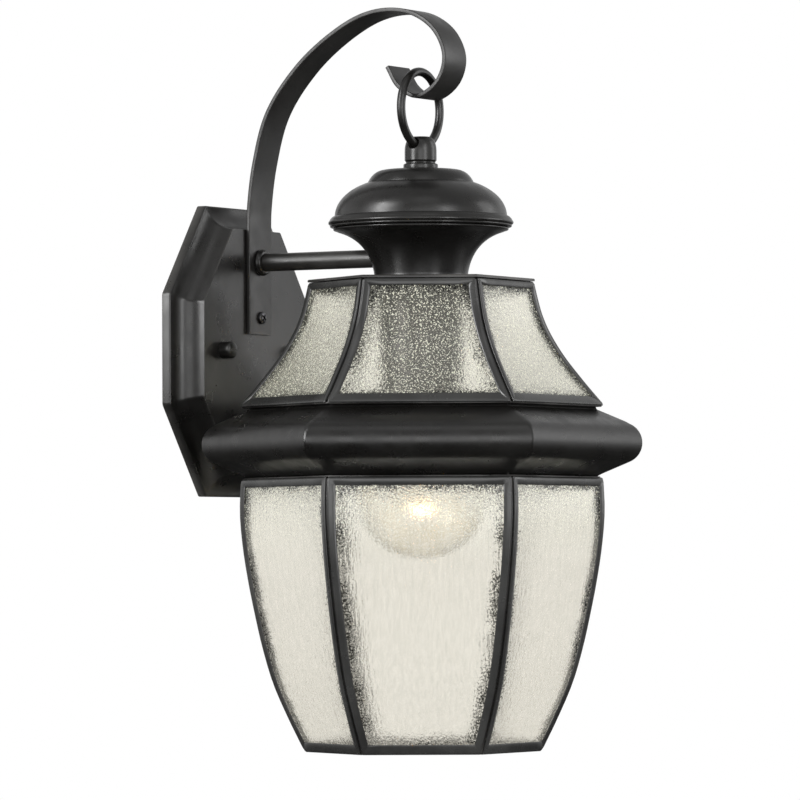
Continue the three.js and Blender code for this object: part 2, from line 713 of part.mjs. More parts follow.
const plateFace = PLATE_DEPTH;
const strapBack = plateFace + SEAT;
const strapFront = strapBack + STRAP_SHEET;
const armZ = ARM_ON_PLATE;
const bore = (radius, x, z, from, to) => layOut(disc(radius, from, to, 16), x, z);

function wallPlate() {
  const through = [
    [ARM_R + FIT, 0, armZ],
    [SCREW.shank + FIT, 0, STRAP_SCREW_Z],
    [STUD_R + FIT, STUD_SPACING / 2, 0],
    [STUD_R + FIT, -STUD_SPACING / 2, 0],
  ];
  const holes = through.map(([r, x, z]) => bore(r, x, z, plateFace - 3 * PLATE_SHEET,
    plateFace + PAST));
  return cut(plateForm(0), plateForm(PLATE_SHEET), ...holes);
}
place(fixture, 'wall_plate', wallPlate(), darkMetal());

// ---------------------------------------------------------------- mounting hardware
function mountingBracket() {
  const { length, width, sheet: thick } = BRACKET;
  const outline = new THREE.Shape();
  const half = (length - width) / 2;
  outline.absarc(half, 0, width / 2, -Math.PI / 2, Math.PI / 2);
  outline.absarc(-half, 0, width / 2, Math.PI / 2, 1.5 * Math.PI);
  const holes = [];
  for (const side of [-1, 1]) {
    const slot = new THREE.Path();
    const middle = side * (BOX_SCREW_SPACING / 2 - SLOT.inset);
    const run = (SLOT.length - SLOT.width) / 2;
    slot.absarc(middle + run, 0, SLOT.width / 2, -Math.PI / 2, Math.PI / 2);
    slot.absarc(middle - run, 0, SLOT.width / 2, Math.PI / 2, 1.5 * Math.PI);
    holes.push(slot);
    const tapped = new THREE.Path();
    tapped.absarc((side * STUD_SPACING) / 2, 0, STUD_R + FIT, 0, 2 * Math.PI);
    holes.push(tapped);
  }
  const ground = new THREE.Path();
  ground.absarc(GROUND_SCREW.offset, 0, GROUND_SCREW.shank + FIT, 0, 2 * Math.PI);
  outline.holes.push(...holes, ground);
  const options = { depth: thick, bevelEnabled: false, curveSegments: 5 };
  return new THREE.ExtrudeGeometry(outline, options).rotateX(Math.PI / 2);
}

const capNutTop = plateFace + CAP_NUT.length;
const studBoreEnd = capNutTop - CAP_NUT.web;

function capNut() {
  const dome = new THREE.QuadraticBezierCurve(
    new THREE.Vector2(CAP_NUT.r, capNutTop - CAP_NUT.dome),
    new THREE.Vector2(CAP_NUT.r - 0.4, capNutTop),
    new THREE.Vector2(0, capNutTop),
  );
  const outline = [[0, plateFace + SEAT], [CAP_NUT.r, plateFace + SEAT], ...curvePoints(dome, 4)];
  const slot = new THREE.BoxGeometry(2 * CAP_NUT.r + PAST, 2 * CAP_NUT.slotDepth, CAP_NUT.slotWidth)
    .rotateX(Math.PI / 2).translate(0, 0, capNutTop);
  return cut(spin(outline, 16), disc(STUD_R + FIT, plateFace - PAST, studBoreEnd, 16), slot);
}

place(fixture, 'mounting_bracket', mountingBracket(), steel());
[['left', -1], ['right', 1]].forEach(([side, sign]) => {
  const x = (sign * STUD_SPACING) / 2;
  const nutBack = BRACKET.sheet + SEAT;
  const studEnd = studBoreEnd - STUD_END_GAP;
  place(fixture, `mounting_stud_${side}`, bore(STUD_R, x, 0, WALL_GAP, studEnd), steel());
  place(fixture, `stud_lock_nut_${side}`, layOut(hexNut(STUD_NUT, STUD_R, nutBack), x, 0), steel());
  place(fixture, `cap_nut_${side}`, layOut(capNut(), x, 0), darkMetal());
});

function panHead(screw, seat, tip) {
  return spin([
    [0, tip],
    [screw.shank, tip],
    [screw.shank, seat],
    [screw.head, seat],
    [screw.head, seat + screw.thick * 0.5],
    [screw.head * 0.6, seat + screw.thick],
    [0, seat + screw.thick],
    [0, tip],
  ], 14);
}
place(fixture, 'ground_screw', layOut(
  panHead(GROUND_SCREW, BRACKET.sheet + SEAT, WALL_GAP), GROUND_SCREW.offset, 0),
metal(0x3f7a4a, 0.4));

// ---------------------------------------------------------------- scroll strap and its screw
// The strap's middle line as [out from the wall, up]: straight foot, rise to the crown, curl.
function strapRoute() {
  const middle = (strapBack + strapFront) / 2;
  const [midZ, highZ, leanZ] = STRAP_STRAIGHT_Z;
  const curl = STRAP_CURL.map(([inwards, up]) => [reach - inwards, rimZ + ringCentreZ + up]);
  const [crownOut, crownZ] = curl[0];
  const rise = STRAP_RISE.map(([across, up]) => [
    THREE.MathUtils.lerp(middle, crownOut, across),
    THREE.MathUtils.lerp(leanZ, crownZ, up),
  ]);
  return [[middle, STRAP_FOOT_Z], [middle, midZ], [middle, highZ], [middle + STRAP_LEAN, leanZ],
    ...rise, ...curl];
}

function scrollStrap() {
  const route = strapRoute().map(([out, z]) => new THREE.Vector3(0, -out, z));
  const path = new THREE.CatmullRomCurve3(route);
  const across = new THREE.Vector3(STRAP_WIDTH / 2, 0, 0);
  const corners = [[-1, -1], [1, -1], [1, 1], [-1, 1]];
  const strap = loft(path.getSpacedPoints(STRAP_STEPS).map((point, k) => {
    const thick = path.getTangentAt(k / STRAP_STEPS).cross(across).setLength(STRAP_SHEET / 2);
    return corners.map(([side, face]) => point.clone()
      .addScaledVector(across, side).addScaledVector(thick, face));
  }));
  return cut(strap,
    bore(ARM_R + FIT, 0, armZ, plateFace - PAST, strapFront + PAST),
    bore(SCREW.shank + FIT, 0, STRAP_SCREW_Z, plateFace - PAST, strapFront + PAST));
}

const plateBack = plateFace - PLATE_SHEET - SEAT;
place(fixture, 'scroll_strap', scrollStrap(), darkMetal());
place(fixture, 'strap_screw', layOut(
  panHead(SCREW, strapFront + SEAT, strapFront - SCREW.length), 0, STRAP_SCREW_Z), steel());
place(fixture, 'strap_screw_nut', layOut(
  hexNut(SCREW_NUT, SCREW.shank, plateBack - SCREW_NUT.height), 0, STRAP_SCREW_Z), steel());

// ---------------------------------------------------------------- arm
const armOuter = plateFace - PLATE_SHEET - ARM_IN_PLATE;
const armInner = reach - ARM_IN_NECK;

function armRing() {
  const from = strapFront + SEAT;
  const to = from + ARM_RING.length;
  const centreR = ARM_R + ARM_RING.wall - ARM_RING.bulge;
  const round = arc([centreR, (from + to) / 2], ARM_RING.bulge, -0.5 * Math.PI, 0.5 * Math.PI, 5);
  return spin([[ARM_R + FIT, from], ...round, [ARM_R + FIT, to], [ARM_R + FIT, from]], 20);
}

place(fixture, 'arm_tube', layOut(tube(ARM_R, ARM_R - ARM_WALL, armOuter, armInner, 16), 0, armZ),
  darkMetal());
place(fixture, 'arm_ring', layOut(armRing(), 0, armZ), darkMetal());
place(fixture, 'arm_plate_nut', layOut(
  hexNut(ARM_NUT, ARM_R, plateBack - ARM_NUT.height), 0, armZ), steel());
place(fixture, 'arm_neck_nut', layOut(
  hexNut(ARM_NUT, ARM_R, armInner - TURNED_SEAT - ARM_NUT.height), 0, armZ), steel());

// ---------------------------------------------------------------- leads
// Each lead rises from the lamp holder into the neck, turns into the arm and drops in the pan.
function lead(side) {
  const x = side * (LEAD_R + LEAD_GAP / 2);
  const terminal = 0.68 * (cupR - CUP_SHEET) * Math.SQRT1_2;
  const terminalZ = bracketZ + BRACKET_PLATE + LEAD_R + 0.4;
  const inPan = reach - armOuter + 5;
  const route = [
    [side * terminal, terminal, terminalZ],
    [side * 3, LEAD_HOLE.y - 0.5, hubTop + 1],
    [x, LEAD_HOLE.y, topPlateZ],
    [x, LEAD_HOLE.y + 0.6, armOnLantern - 3.5],
    [x, ARM_IN_NECK - 1, armOnLantern],
    [x, ARM_IN_NECK + 10, armOnLantern],
    [x, reach - plateFace, armOnLantern],
    [x, reach - armOuter, armOnLantern],
    [side * 2.5, inPan, armOnLantern - 5],
    [side * 9, inPan - 1, armOnLantern - 24],
  ].map(([px, py, pz]) => new THREE.Vector3(px, py, pz));
  const path = new THREE.CatmullRomCurve3(route, false, 'centripetal');
  return new THREE.ExtrudeGeometry(circle(LEAD_R, 6), { extrudePath: path, steps: 36 });
}
place(hung, 'lead_black', lead(-1), plastic(0x151515));
place(hung, 'lead_white', lead(1), plastic(0xe6e4de));

export default fixture;
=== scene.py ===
"""Outdoor wall lantern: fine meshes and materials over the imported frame.

Metres throughout. The wall is the plane y = 0 and the lantern stands out towards -Y.
"""

import math

import bmesh
import bpy
from mathutils import Matrix, Vector

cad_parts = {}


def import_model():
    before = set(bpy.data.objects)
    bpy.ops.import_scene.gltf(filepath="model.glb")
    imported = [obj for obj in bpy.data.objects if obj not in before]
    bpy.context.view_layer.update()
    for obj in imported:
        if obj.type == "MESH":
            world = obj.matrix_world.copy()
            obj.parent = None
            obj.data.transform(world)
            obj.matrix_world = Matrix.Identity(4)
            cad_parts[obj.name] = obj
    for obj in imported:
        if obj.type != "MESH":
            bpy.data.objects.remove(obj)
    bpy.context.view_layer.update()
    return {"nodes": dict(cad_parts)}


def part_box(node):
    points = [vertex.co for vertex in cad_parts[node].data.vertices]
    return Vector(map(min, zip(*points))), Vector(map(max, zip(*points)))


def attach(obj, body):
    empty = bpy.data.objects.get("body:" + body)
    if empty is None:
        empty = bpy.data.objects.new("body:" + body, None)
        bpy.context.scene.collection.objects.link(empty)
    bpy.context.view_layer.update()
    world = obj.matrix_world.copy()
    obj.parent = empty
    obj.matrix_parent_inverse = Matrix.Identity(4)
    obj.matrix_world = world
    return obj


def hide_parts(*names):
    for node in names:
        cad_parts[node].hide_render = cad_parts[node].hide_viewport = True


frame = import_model()

MM = 0.001
SIDES = ("front", "front_right", "back_right", "back", "back_left", "front_left")
TAN30 = math.tan(math.pi / 6)
COS30 = math.cos(math.pi / 6)
ROUND = 96                      # segments of the largest spun pieces
CUT_SHARP = 35                  # degrees, the sharp edge angle of a piece after a cut


# ------------------------------------------------------------------ sizes from the frame
def span(node, axis):
    """Lowest and highest coordinate of a CAD node along an axis."""
    low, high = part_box(node)
    return low[axis], high[axis]


def middle(node):
    """The middle of a CAD node's box."""
    low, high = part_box(node)
    return (low + high) / 2


def radius(node, axis=0):
    """Half a CAD node's size along an axis."""
    low, high = span(node, axis)
    return (high - low) / 2


AXIS_Y = middle("neck").y       # the lantern's own upright axis
CENTRE = (0, AXIS_Y)
STEM_HOLE = radius("stem_pipe") + 0.25 * MM


# ------------------------------------------------------------------ material helpers
class Graph:
    """A short way to build a node tree."""

    def __init__(self, tree):
        self.tree = tree
        self.tree.nodes.clear()

    def add(self, kind, inputs=None, **settings):
        node = self.tree.nodes.new(kind)
        for key, value in settings.items():
            setattr(node, key, value)
        for key, value in (inputs or {}).items():
            self.feed(node.inputs[key], value)
        return node

    def feed(self, socket, value):
        if isinstance(value, bpy.types.NodeSocket):
            self.tree.links.new(value, socket)
        else:
            socket.default_value = value


class Nodes(Graph):
    """The node tree of a new material."""

    def __init__(self, name):
        self.material = bpy.data.materials.new(name)
        self.material.use_nodes = True
        super().__init__(self.material.node_tree)
        self.output = self.tree.nodes.new("ShaderNodeOutputMaterial")

    def noise(self, vector, scale, detail=3.0, roughness=0.55):
        inputs = {"Vector": vector, "Scale": scale, "Detail": detail, "Roughness": roughness}
        return self.add("ShaderNodeTexNoise", inputs).outputs["Fac"]

    def remap(self, value, low, high, to_low=0.0, to_high=1.0):
        inputs = {"Value": value, "From Min": low, "From Max": high,
                  "To Min": to_low, "To Max": to_high}
        node = self.add("ShaderNodeMapRange", inputs, interpolation_type="SMOOTHSTEP")
        return node.outputs["Result"]

    def mix(self, factor, a, b):
        node = self.add("ShaderNodeMix", data_type="RGBA")
        self.feed(node.inputs["Factor"], factor)
        self.feed(node.inputs[6], a)
        self.feed(node.inputs[7], b)
        return node.outputs[2]

    def math(self, operation, a, b):
        node = self.add("ShaderNodeMath", operation=operation)
        self.feed(node.inputs[0], a)
        self.feed(node.inputs[1], b)
        return node.outputs[0]

    def place(self, scale=(1, 1, 1)):
        """Object coordinates in millimetres, stretched by scale."""
        coordinates = self.add("ShaderNodeTexCoord").outputs["Object"]
        size = [1000 * s for s in scale]
        return self.add("ShaderNodeMapping", {"Vector": coordinates, "Scale": size}).outputs[0]

    def bump(self, height, strength, distance):
        inputs = {"Height": height, "Strength": strength, "Distance": distance}
        return self.add("ShaderNodeBump", inputs).outputs["Normal"]

    def surface(self, shader):
        self.tree.links.new(shader, self.output.inputs["Surface"])
        return self.material


GRAIN_DEPTH = 0.02 * MM         # depth of the grain that the metals and plastics show
RUBBED = (0.05, 0.048, 0.045, 1)


def painted(name, dark, light, rough=(0.26, 0.37)):
    """Satin powder coat: soft mottling, a fine grain, and rubbed edges."""
    n = Nodes(name)
    place = n.place()
    cloud = n.noise(place, 0.03, 4.0)
    fine = n.noise(place, 1.6, 2.0)
    edges = n.add("ShaderNodeNewGeometry").outputs["Pointiness"]
    worn = n.math("MULTIPLY", n.remap(edges, 0.53, 0.6), n.remap(cloud, 0.4, 0.6, 0.25, 0.9))
    base = n.mix(n.remap(cloud, 0.35, 0.65), (*dark, 1), (*light, 1))
    speck = n.mix(n.remap(fine, 0.62, 0.75, 0.0, 0.3), base, RUBBED)
    color = n.mix(worn, speck, RUBBED)
    roughness = n.remap(n.noise(place, 0.11, 3.0), 0.3, 0.7, *rough)
    peel = n.bump(n.noise(place, 0.7, 2.0), 0.3, GRAIN_DEPTH)
    shader = n.add("ShaderNodeBsdfPrincipled", {
        "Base Color": color, "Roughness": roughness, "Normal": peel})
    return n.surface(shader.outputs[0])


def bare_metal(name, color, tint, rough=(0.22, 0.4), brush=(1, 1, 1)):
    """Plated or bare metal with streaks along one direction and slight tarnish."""
    n = Nodes(name)
    streak = n.noise(n.place(brush), 2.5, 4.0)
    cloud = n.noise(n.place(), 0.2, 3.0)
    base = n.mix(n.remap(cloud, 0.35, 0.7), (*color, 1), (*tint, 1))
    roughness = n.remap(streak, 0.3, 0.7, *rough)
    normal = n.bump(streak, 0.15, GRAIN_DEPTH)
    shader = n.add("ShaderNodeBsdfPrincipled", {
        "Base Color": base, "Metallic": 1.0, "Roughness": roughness, "Normal": normal})
    return n.surface(shader.outputs[0])


def moulded(name, color, tint):
    """Moulded plastic or wire insulation with a faint mottle."""
    n = Nodes(name)
    cloud = n.noise(n.place(), 0.5, 4.0)
    base = n.mix(n.remap(cloud, 0.35, 0.65), (*color, 1), (*tint, 1))
    roughness = n.remap(cloud, 0.3, 0.7, 0.35, 0.5)
    normal = n.bump(n.noise(n.place(), 3.0), 0.2, GRAIN_DEPTH)
    shader = n.add("ShaderNodeBsdfPrincipled", {
        "Base Color": base, "Roughness": roughness, "Normal": normal})
    return n.surface(shader.outputs[0])


def lets_lamps_through(n, shader):
    """Ends a glass material: it casts no hard shadow."""
    path = n.add("ShaderNodeLightPath").outputs["Is Shadow Ray"]
    clear = n.add("ShaderNodeBsdfTransparent", {"Color": (0.9, 0.9, 0.87, 1)})
    mixed = n.add("ShaderNodeMixShader", {0: path, 1: shader.outputs[0], 2: clear.outputs[0]})
    return n.surface(mixed.outputs[0])


GLOW_HAZE_ZONE = (-64.0, -106.0)     # mm, heights between which the painted glow's pale flecks give way to haze
EDGE_SHADE_ZONE = (3.0, 8.8)           # mm from a pane's edge, over which the painted shade of dark seeds thins out
SEED_EDGE = (0.81, 0.822)       # noise level at which a dark seed starts and is full
GLOW_FLECK_EDGE = (0.63, 0.65)       # the same for a pale fleck of painted glow
WAVES_DEPTH = 0.2 * MM
# dark seeds: partly real seeds, and along the channel a painted shade of the dark frame seen
# through the glass
DARK_SEED_SHADE = (0.05, 0.05, 0.045, 1)
CLEAR_DIM, CLEAR_BRIGHT = (0.86, 0.845, 0.80, 1), (0.945, 0.93, 0.89, 1)
# colours of the painted glow, higher up and lower down
CREAM_HIGH, CREAM_LOW = (0.86, 0.86, 0.72, 1), (0.82, 0.79, 0.70, 1)


def seedy_glass():
    """Clear glass full of seeds: pale flecks of painted glow all over, and dark ones that thicken
    along the channel into a painted shade of the frame.

    Each pane carries "rim", the distance in millimetres from its hidden edge. The pale
    flecks and the haze are a faint emission, which stands in for scattered light.
    """
    n = Nodes("seedy_glass")
    place = n.place()
    rim = n.add("ShaderNodeAttribute", attribute_name="rim").outputs["Fac"]
    height = n.add("ShaderNodeSeparateXYZ", {"Vector": place}).outputs["Z"]
    below = n.remap(height, *GLOW_HAZE_ZONE)
    ripple = n.remap(below, 0, 1, 0.8, 0.3)
    grain = n.math("MULTIPLY", n.noise(place, 0.95, 2.0, 0.5), ripple)
    streak = n.noise(n.place((1, 1, 0.04)), 0.8, 1.0)
    patch = n.noise(place, 0.06, 2.0)
    waves = n.math("ADD", grain, n.math("MULTIPLY", streak, 0.4))
    normal = n.bump(waves, 1.0, WAVES_DEPTH)
    clear = n.mix(n.remap(streak, 0.3, 0.7), CLEAR_DIM, CLEAR_BRIGHT)

    # painted shade: the dark seeds crowd towards the pane's edge, where the dark frame shows
    # through the glass
    uneven = n.remap(patch, 0.38, 0.6, 0.4, 1.0)
    band = n.math("MULTIPLY", n.remap(rim, *EDGE_SHADE_ZONE, 1.0, 0.0), uneven)
    shift = {"Vector": place, "Location": (31, 17, 5)}
    shifted = n.add("ShaderNodeMapping", shift).outputs[0]
    seeds = n.noise(shifted, 1.15, 1.0, 0.55)
    reach = n.math("ADD", seeds, n.math("MULTIPLY", band, 0.33))
    dark = n.remap(reach, *SEED_EDGE, 0.0, 0.95)
    glass = n.add("ShaderNodeBsdfPrincipled", {
        "Base Color": n.mix(dark, clear, DARK_SEED_SHADE), "Roughness": 0.1, "Normal": normal,
        "IOR": 1.38, "Transmission Weight": 1.0}).outputs[0]

    # painted glow: emitted pale flecks and haze stand in for light scattered in the glass
    spots = n.remap(n.noise(place, 1.4, 1.0, 0.5), *GLOW_FLECK_EDGE, 0.0, 0.95)
    fleck = n.math("MULTIPLY", spots, n.remap(below, 0, 1, 1.0, 0.5))
    haze = n.remap(below, 0.0, 1.0, 0.03, 0.10)
    pale = n.math("MULTIPLY", n.math("MAXIMUM", fleck, haze), n.math("SUBTRACT", 1.0, dark))
    cream = n.mix(below, CREAM_HIGH, CREAM_LOW)
    scatter = n.add("ShaderNodeEmission", {"Color": cream, "Strength": 1.0}).outputs[0]
    both = n.add("ShaderNodeMixShader", {0: pale, 1: glass, 2: scatter})
    return lets_lamps_through(n, both)


def clear_glass(name, tint, rough=0.02):
    """Thin blown glass with faint waviness."""
    n = Nodes(name)
    wave = n.noise(n.place(), 0.08, 2.0)
    color = n.mix(n.remap(wave, 0.3, 0.7), (*tint, 1), (1, 1, 1, 1))
    normal = n.bump(wave, 0.3, 0.3 * MM)
    return lets_lamps_through(n, n.add("ShaderNodeBsdfPrincipled", {
        "Base Color": color, "Roughness": rough, "Normal": normal,
        "IOR": 1.5, "Transmission Weight": 1.0}))


def glowing(name, color, strength):
    """A hot wire, a little uneven in its heat."""
    n = Nodes(name)
    heat = n.remap(n.noise(n.place(), 0.4, 2.0), 0.3, 0.7, 0.85 * strength, 1.15 * strength)
    shader = n.add("ShaderNodeBsdfPrincipled", {
        "Base Color": (*color, 1), "Roughness": 0.5,
        "Emission Color": (*color, 1), "Emission Strength": heat})
    return n.surface(shader.outputs[0])


DARK = painted("dark_metal", (0.0045, 0.0042, 0.0038), (0.008, 0.0076, 0.007))
# the strap's copy of the dark metal is painted lighter: a painted light for its lit faces
STRAP_METAL_LIT = painted("strap_metal_lit", (0.012, 0.0115, 0.011), (0.020, 0.0195, 0.0185), (0.36, 0.46))
# the came's copy of the dark metal is painted lighter: a painted highlight on the stiles
CHANNEL = painted("came_metal_painted_highlight", (0.020, 0.020, 0.0195), (0.034, 0.034, 0.033), (0.19, 0.28))
ZINC = bare_metal("zinc_steel", (0.62, 0.62, 0.6), (0.5, 0.5, 0.47), brush=(0.05, 1, 1))
BLACKED = bare_metal("blacked_screw", (0.06, 0.06, 0.062), (0.09, 0.09, 0.095), (0.28, 0.42))
GREEN = painted("green_screw", (0.02, 0.16, 0.05), (0.03, 0.22, 0.07))
BRASS = bare_metal("brass", (0.72, 0.5, 0.2), (0.55, 0.38, 0.16))
ALLOY = bare_metal("lamp_base_alloy", (0.8, 0.8, 0.8), (0.65, 0.65, 0.64))
PHENOLIC = moulded("phenolic", (0.012, 0.011, 0.010), (0.022, 0.020, 0.018))
BLACK_WIRE = moulded("black_insulation", (0.008, 0.008, 0.008), (0.016, 0.016, 0.016))
WHITE_WIRE = moulded("white_insulation", (0.78, 0.77, 0.72), (0.7, 0.69, 0.64))
SEEDY = seedy_glass()
LAMP = clear_glass("lamp_glass", (1.0, 0.96, 0.88), 0.09)
STEM = clear_glass("stem_glass", (0.95, 0.97, 0.96))
FILAMENT = glowing("filament", (1.0, 0.62, 0.26), 320.0)


# ------------------------------------------------------------------ mesh helpers
def finish_piece(name, bm, material, body, stands_for, sharp):
    """Turns a bmesh into a shaded piece that rides on a body and stands for CAD nodes."""
    bmesh.ops.remove_doubles(bm, verts=bm.verts, dist=1e-7)
    bmesh.ops.recalc_face_normals(bm, faces=bm.faces)
    mesh = bpy.data.meshes.new(name)
    bm.to_mesh(mesh)
    bm.free()
    mesh.shade_smooth()
    mesh.set_sharp_from_angle(angle=math.radians(sharp))
    piece = bpy.data.objects.new(name, mesh)
    bpy.context.scene.collection.objects.link(piece)
    mesh.materials.append(material)
    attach(piece, body)
    if stands_for:
        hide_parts(*stands_for)
    return piece


def dark_piece(name, bm, node, sharp):
    """A dark metal piece of the lantern that stands for one CAD node."""
    return finish_piece(name, bm, DARK, "lantern", [node], sharp)


def skin(bm, rings, wrap=False):
    """Joins rings of corners into a tube. With wrap, the last ring meets the first."""
    rows = [[bm.verts.new(p) for p in ring] for ring in rings]
    count = len(rows[0])
    pairs = list(zip(rows, rows[1:]))
    if wrap:
        pairs.append((rows[-1], rows[0]))
    for a, b in pairs:
        for k in range(count):
            m = (k + 1) % count
            bm.faces.new((a[k], a[m], b[m], b[k]))
    return rows


def caps(bm, rows):
    """Closes both ends of a tube."""
    bm.faces.new(rows[0][::-1])
    bm.faces.new(rows[-1])


def spun(profile, segments, centre=(0.0, 0.0)):
    """A closed profile of (radius, height) spun about an upright axis."""
    bm = bmesh.new()
    rings = []
    for k in range(segments):
        angle = 2 * math.pi * k / segments
        c, s = math.cos(angle), math.sin(angle)
        rings.append([Vector((centre[0] + r * c, centre[1] + r * s, z)) for r, z in profile])
    skin(bm, rings, wrap=True)
    bmesh.ops.remove_doubles(bm, verts=bm.verts, dist=1e-7)
    bmesh.ops.dissolve_degenerate(bm, edges=bm.edges, dist=1e-7)
    return bm


def lay_out(bm, x, z):
    """Turns a piece spun about Z so that its +Z points out of the wall, at (x, z)."""
    bm.transform(Matrix.Translation((x, 0, z)) @ Matrix.Rotation(math.pi / 2, 4, "X"))
    return bm


def arc(centre, r, start, stop, steps):
    """Points on a round stretch between two angles in degrees."""
    points = []
    for k in range(steps + 1):
        angle = math.radians(start + (stop - start) * k / steps)
        points.append((centre[0] + r * math.cos(angle), centre[1] + r * math.sin(angle)))
    return points


def bezier(p0, p1, p2, p3, steps):
    """Points on a smooth curve with two ends and two handles."""
    points = []
    for k in range(steps + 1):
        t = k / steps
        a, b, c, d = (1 - t) ** 3, 3 * t * (1 - t) ** 2, 3 * t * t * (1 - t), t ** 3
        points.append(tuple(a * q0 + b * q1 + c * q2 + d * q3
                            for q0, q1, q2, q3 in zip(p0, p1, p2, p3)))
    return points


def offset(points, distance):
    """An open profile moved sideways, to its left, by a distance."""
    moved = []
    for k, point in enumerate(points):
        before = points[max(k - 1, 0)]
        after = points[min(k + 1, len(points) - 1)]
        along = Vector((after[0] - before[0], after[1] - before[1])).normalized()
        moved.append((point[0] - along.y * distance, point[1] + along.x * distance))
    return moved


def spline(points, per_span):
    """A centripetal Catmull-Rom curve through 3-D points."""
    route = [Vector(p) for p in points]
    route = [2 * route[0] - route[1]] + route + [2 * route[-1] - route[-2]]
    out = []
    for k in range(1, len(route) - 2):
        p = route[k - 1:k + 3]
        knots = [0.0]
        for a, b in zip(p, p[1:]):
            knots.append(knots[-1] + max((b - a).length, 1e-6) ** 0.5)

        def between(a, b, low, high, t):
            return a.lerp(b, (t - knots[low]) / (knots[high] - knots[low]))

        for step in range(per_span):
            t = knots[1] + (knots[2] - knots[1]) * step / per_span
            a1, a2, a3 = (between(p[i], p[i + 1], i, i + 1, t) for i in range(3))
            b1, b2 = between(a1, a2, 0, 2, t), between(a2, a3, 1, 3, t)
            out.append(between(b1, b2, 1, 2, t))
    out.append(route[-2])
    return out


def swept(path, section):
    """A section of (across, thick) swept along a path; across stays along X."""
    bm = bmesh.new()
    side = Vector((1, 0, 0))
    rings = []
    for k, point in enumerate(path):
        along = (path[min(k + 1, len(path) - 1)] - path[max(k - 1, 0)]).normalized()
        up = side.cross(along).normalized()
        rings.append([point + side * a + up * b for a, b in section])
    caps(bm, skin(bm, rings))
    return bm


def tube_along(path, r, segments):
    """A round tube along any path, with no twist."""
    bm = bmesh.new()
    normal = None
    rings = []
    for k, point in enumerate(path):
        along = (path[min(k + 1, len(path) - 1)] - path[max(k - 1, 0)]).normalized()
        if normal is None:
            normal = along.orthogonal().normalized()
        normal = (normal - along * normal.dot(along)).normalized()
        other = along.cross(normal)
        ring = []
        for m in range(segments):
            angle = 2 * math.pi * m / segments
            ring.append(point + (normal * math.cos(angle) + other * math.sin(angle)) * r)
        rings.append(ring)
    caps(bm, skin(bm, rings))
    return bm


def rounded_box_section(width, thick, r):
    """A rectangle with rounded corners, as (across, thick) points."""
    points = []
    corners = ((1, 1, 0), (-1, 1, 90), (-1, -1, 180), (1, -1, 270))
    for sx, sy, start in corners:
        centre = (sx * (width / 2 - r), sy * (thick / 2 - r))
        points += arc(centre, r, start, start + 90, 4)
    return points


def joined(parts):
    """One bmesh made of several."""
    bm = bmesh.new()
    for part in parts:
        mesh = bpy.data.meshes.new("part")
        part.to_mesh(mesh)
        part.free()
        bm.from_mesh(mesh)
        bpy.data.meshes.remove(mesh)
    return bm


def cut_with(piece, *cutters):
    """Cuts bmeshes out of a piece."""
    for bm in cutters:
        bmesh.ops.recalc_face_normals(bm, faces=bm.faces)
        mesh = bpy.data.meshes.new("cutter")
        bm.to_mesh(mesh)
        bm.free()
        tool = bpy.data.objects.new("cutter", mesh)
        bpy.context.scene.collection.objects.link(tool)
        modifier = piece.modifiers.new("cut", "BOOLEAN")
        modifier.object = tool
        modifier.operation = "DIFFERENCE"
        modifier.solver = "EXACT"
        bpy.context.view_layer.update()
        graph = bpy.context.evaluated_depsgraph_get()
        result = bpy.data.meshes.new_from_object(piece.evaluated_get(graph))
        piece.modifiers.clear()
        piece.data = result
        bpy.data.objects.remove(tool)
    piece.data.shade_smooth()
    piece.data.set_sharp_from_angle(angle=math.radians(CUT_SHARP))


def along_wall(r, x, z, y_in, y_out):
    """A rod that points out of the wall between two distances from it."""
    return lay_out(spun([(0, y_in), (r, y_in), (r, y_out), (0, y_out)], 40), x, z)


def block(at, size, turn=0.0):
    """A box turned about Y, around its middle."""
    bm = bmesh.new()
    bmesh.ops.create_cube(bm, size=1.0)
    bm.transform(Matrix.Translation(at) @ Matrix.Rotation(turn, 4, "Y")
                 @ Matrix.Diagonal((*size, 1)))
    return bm


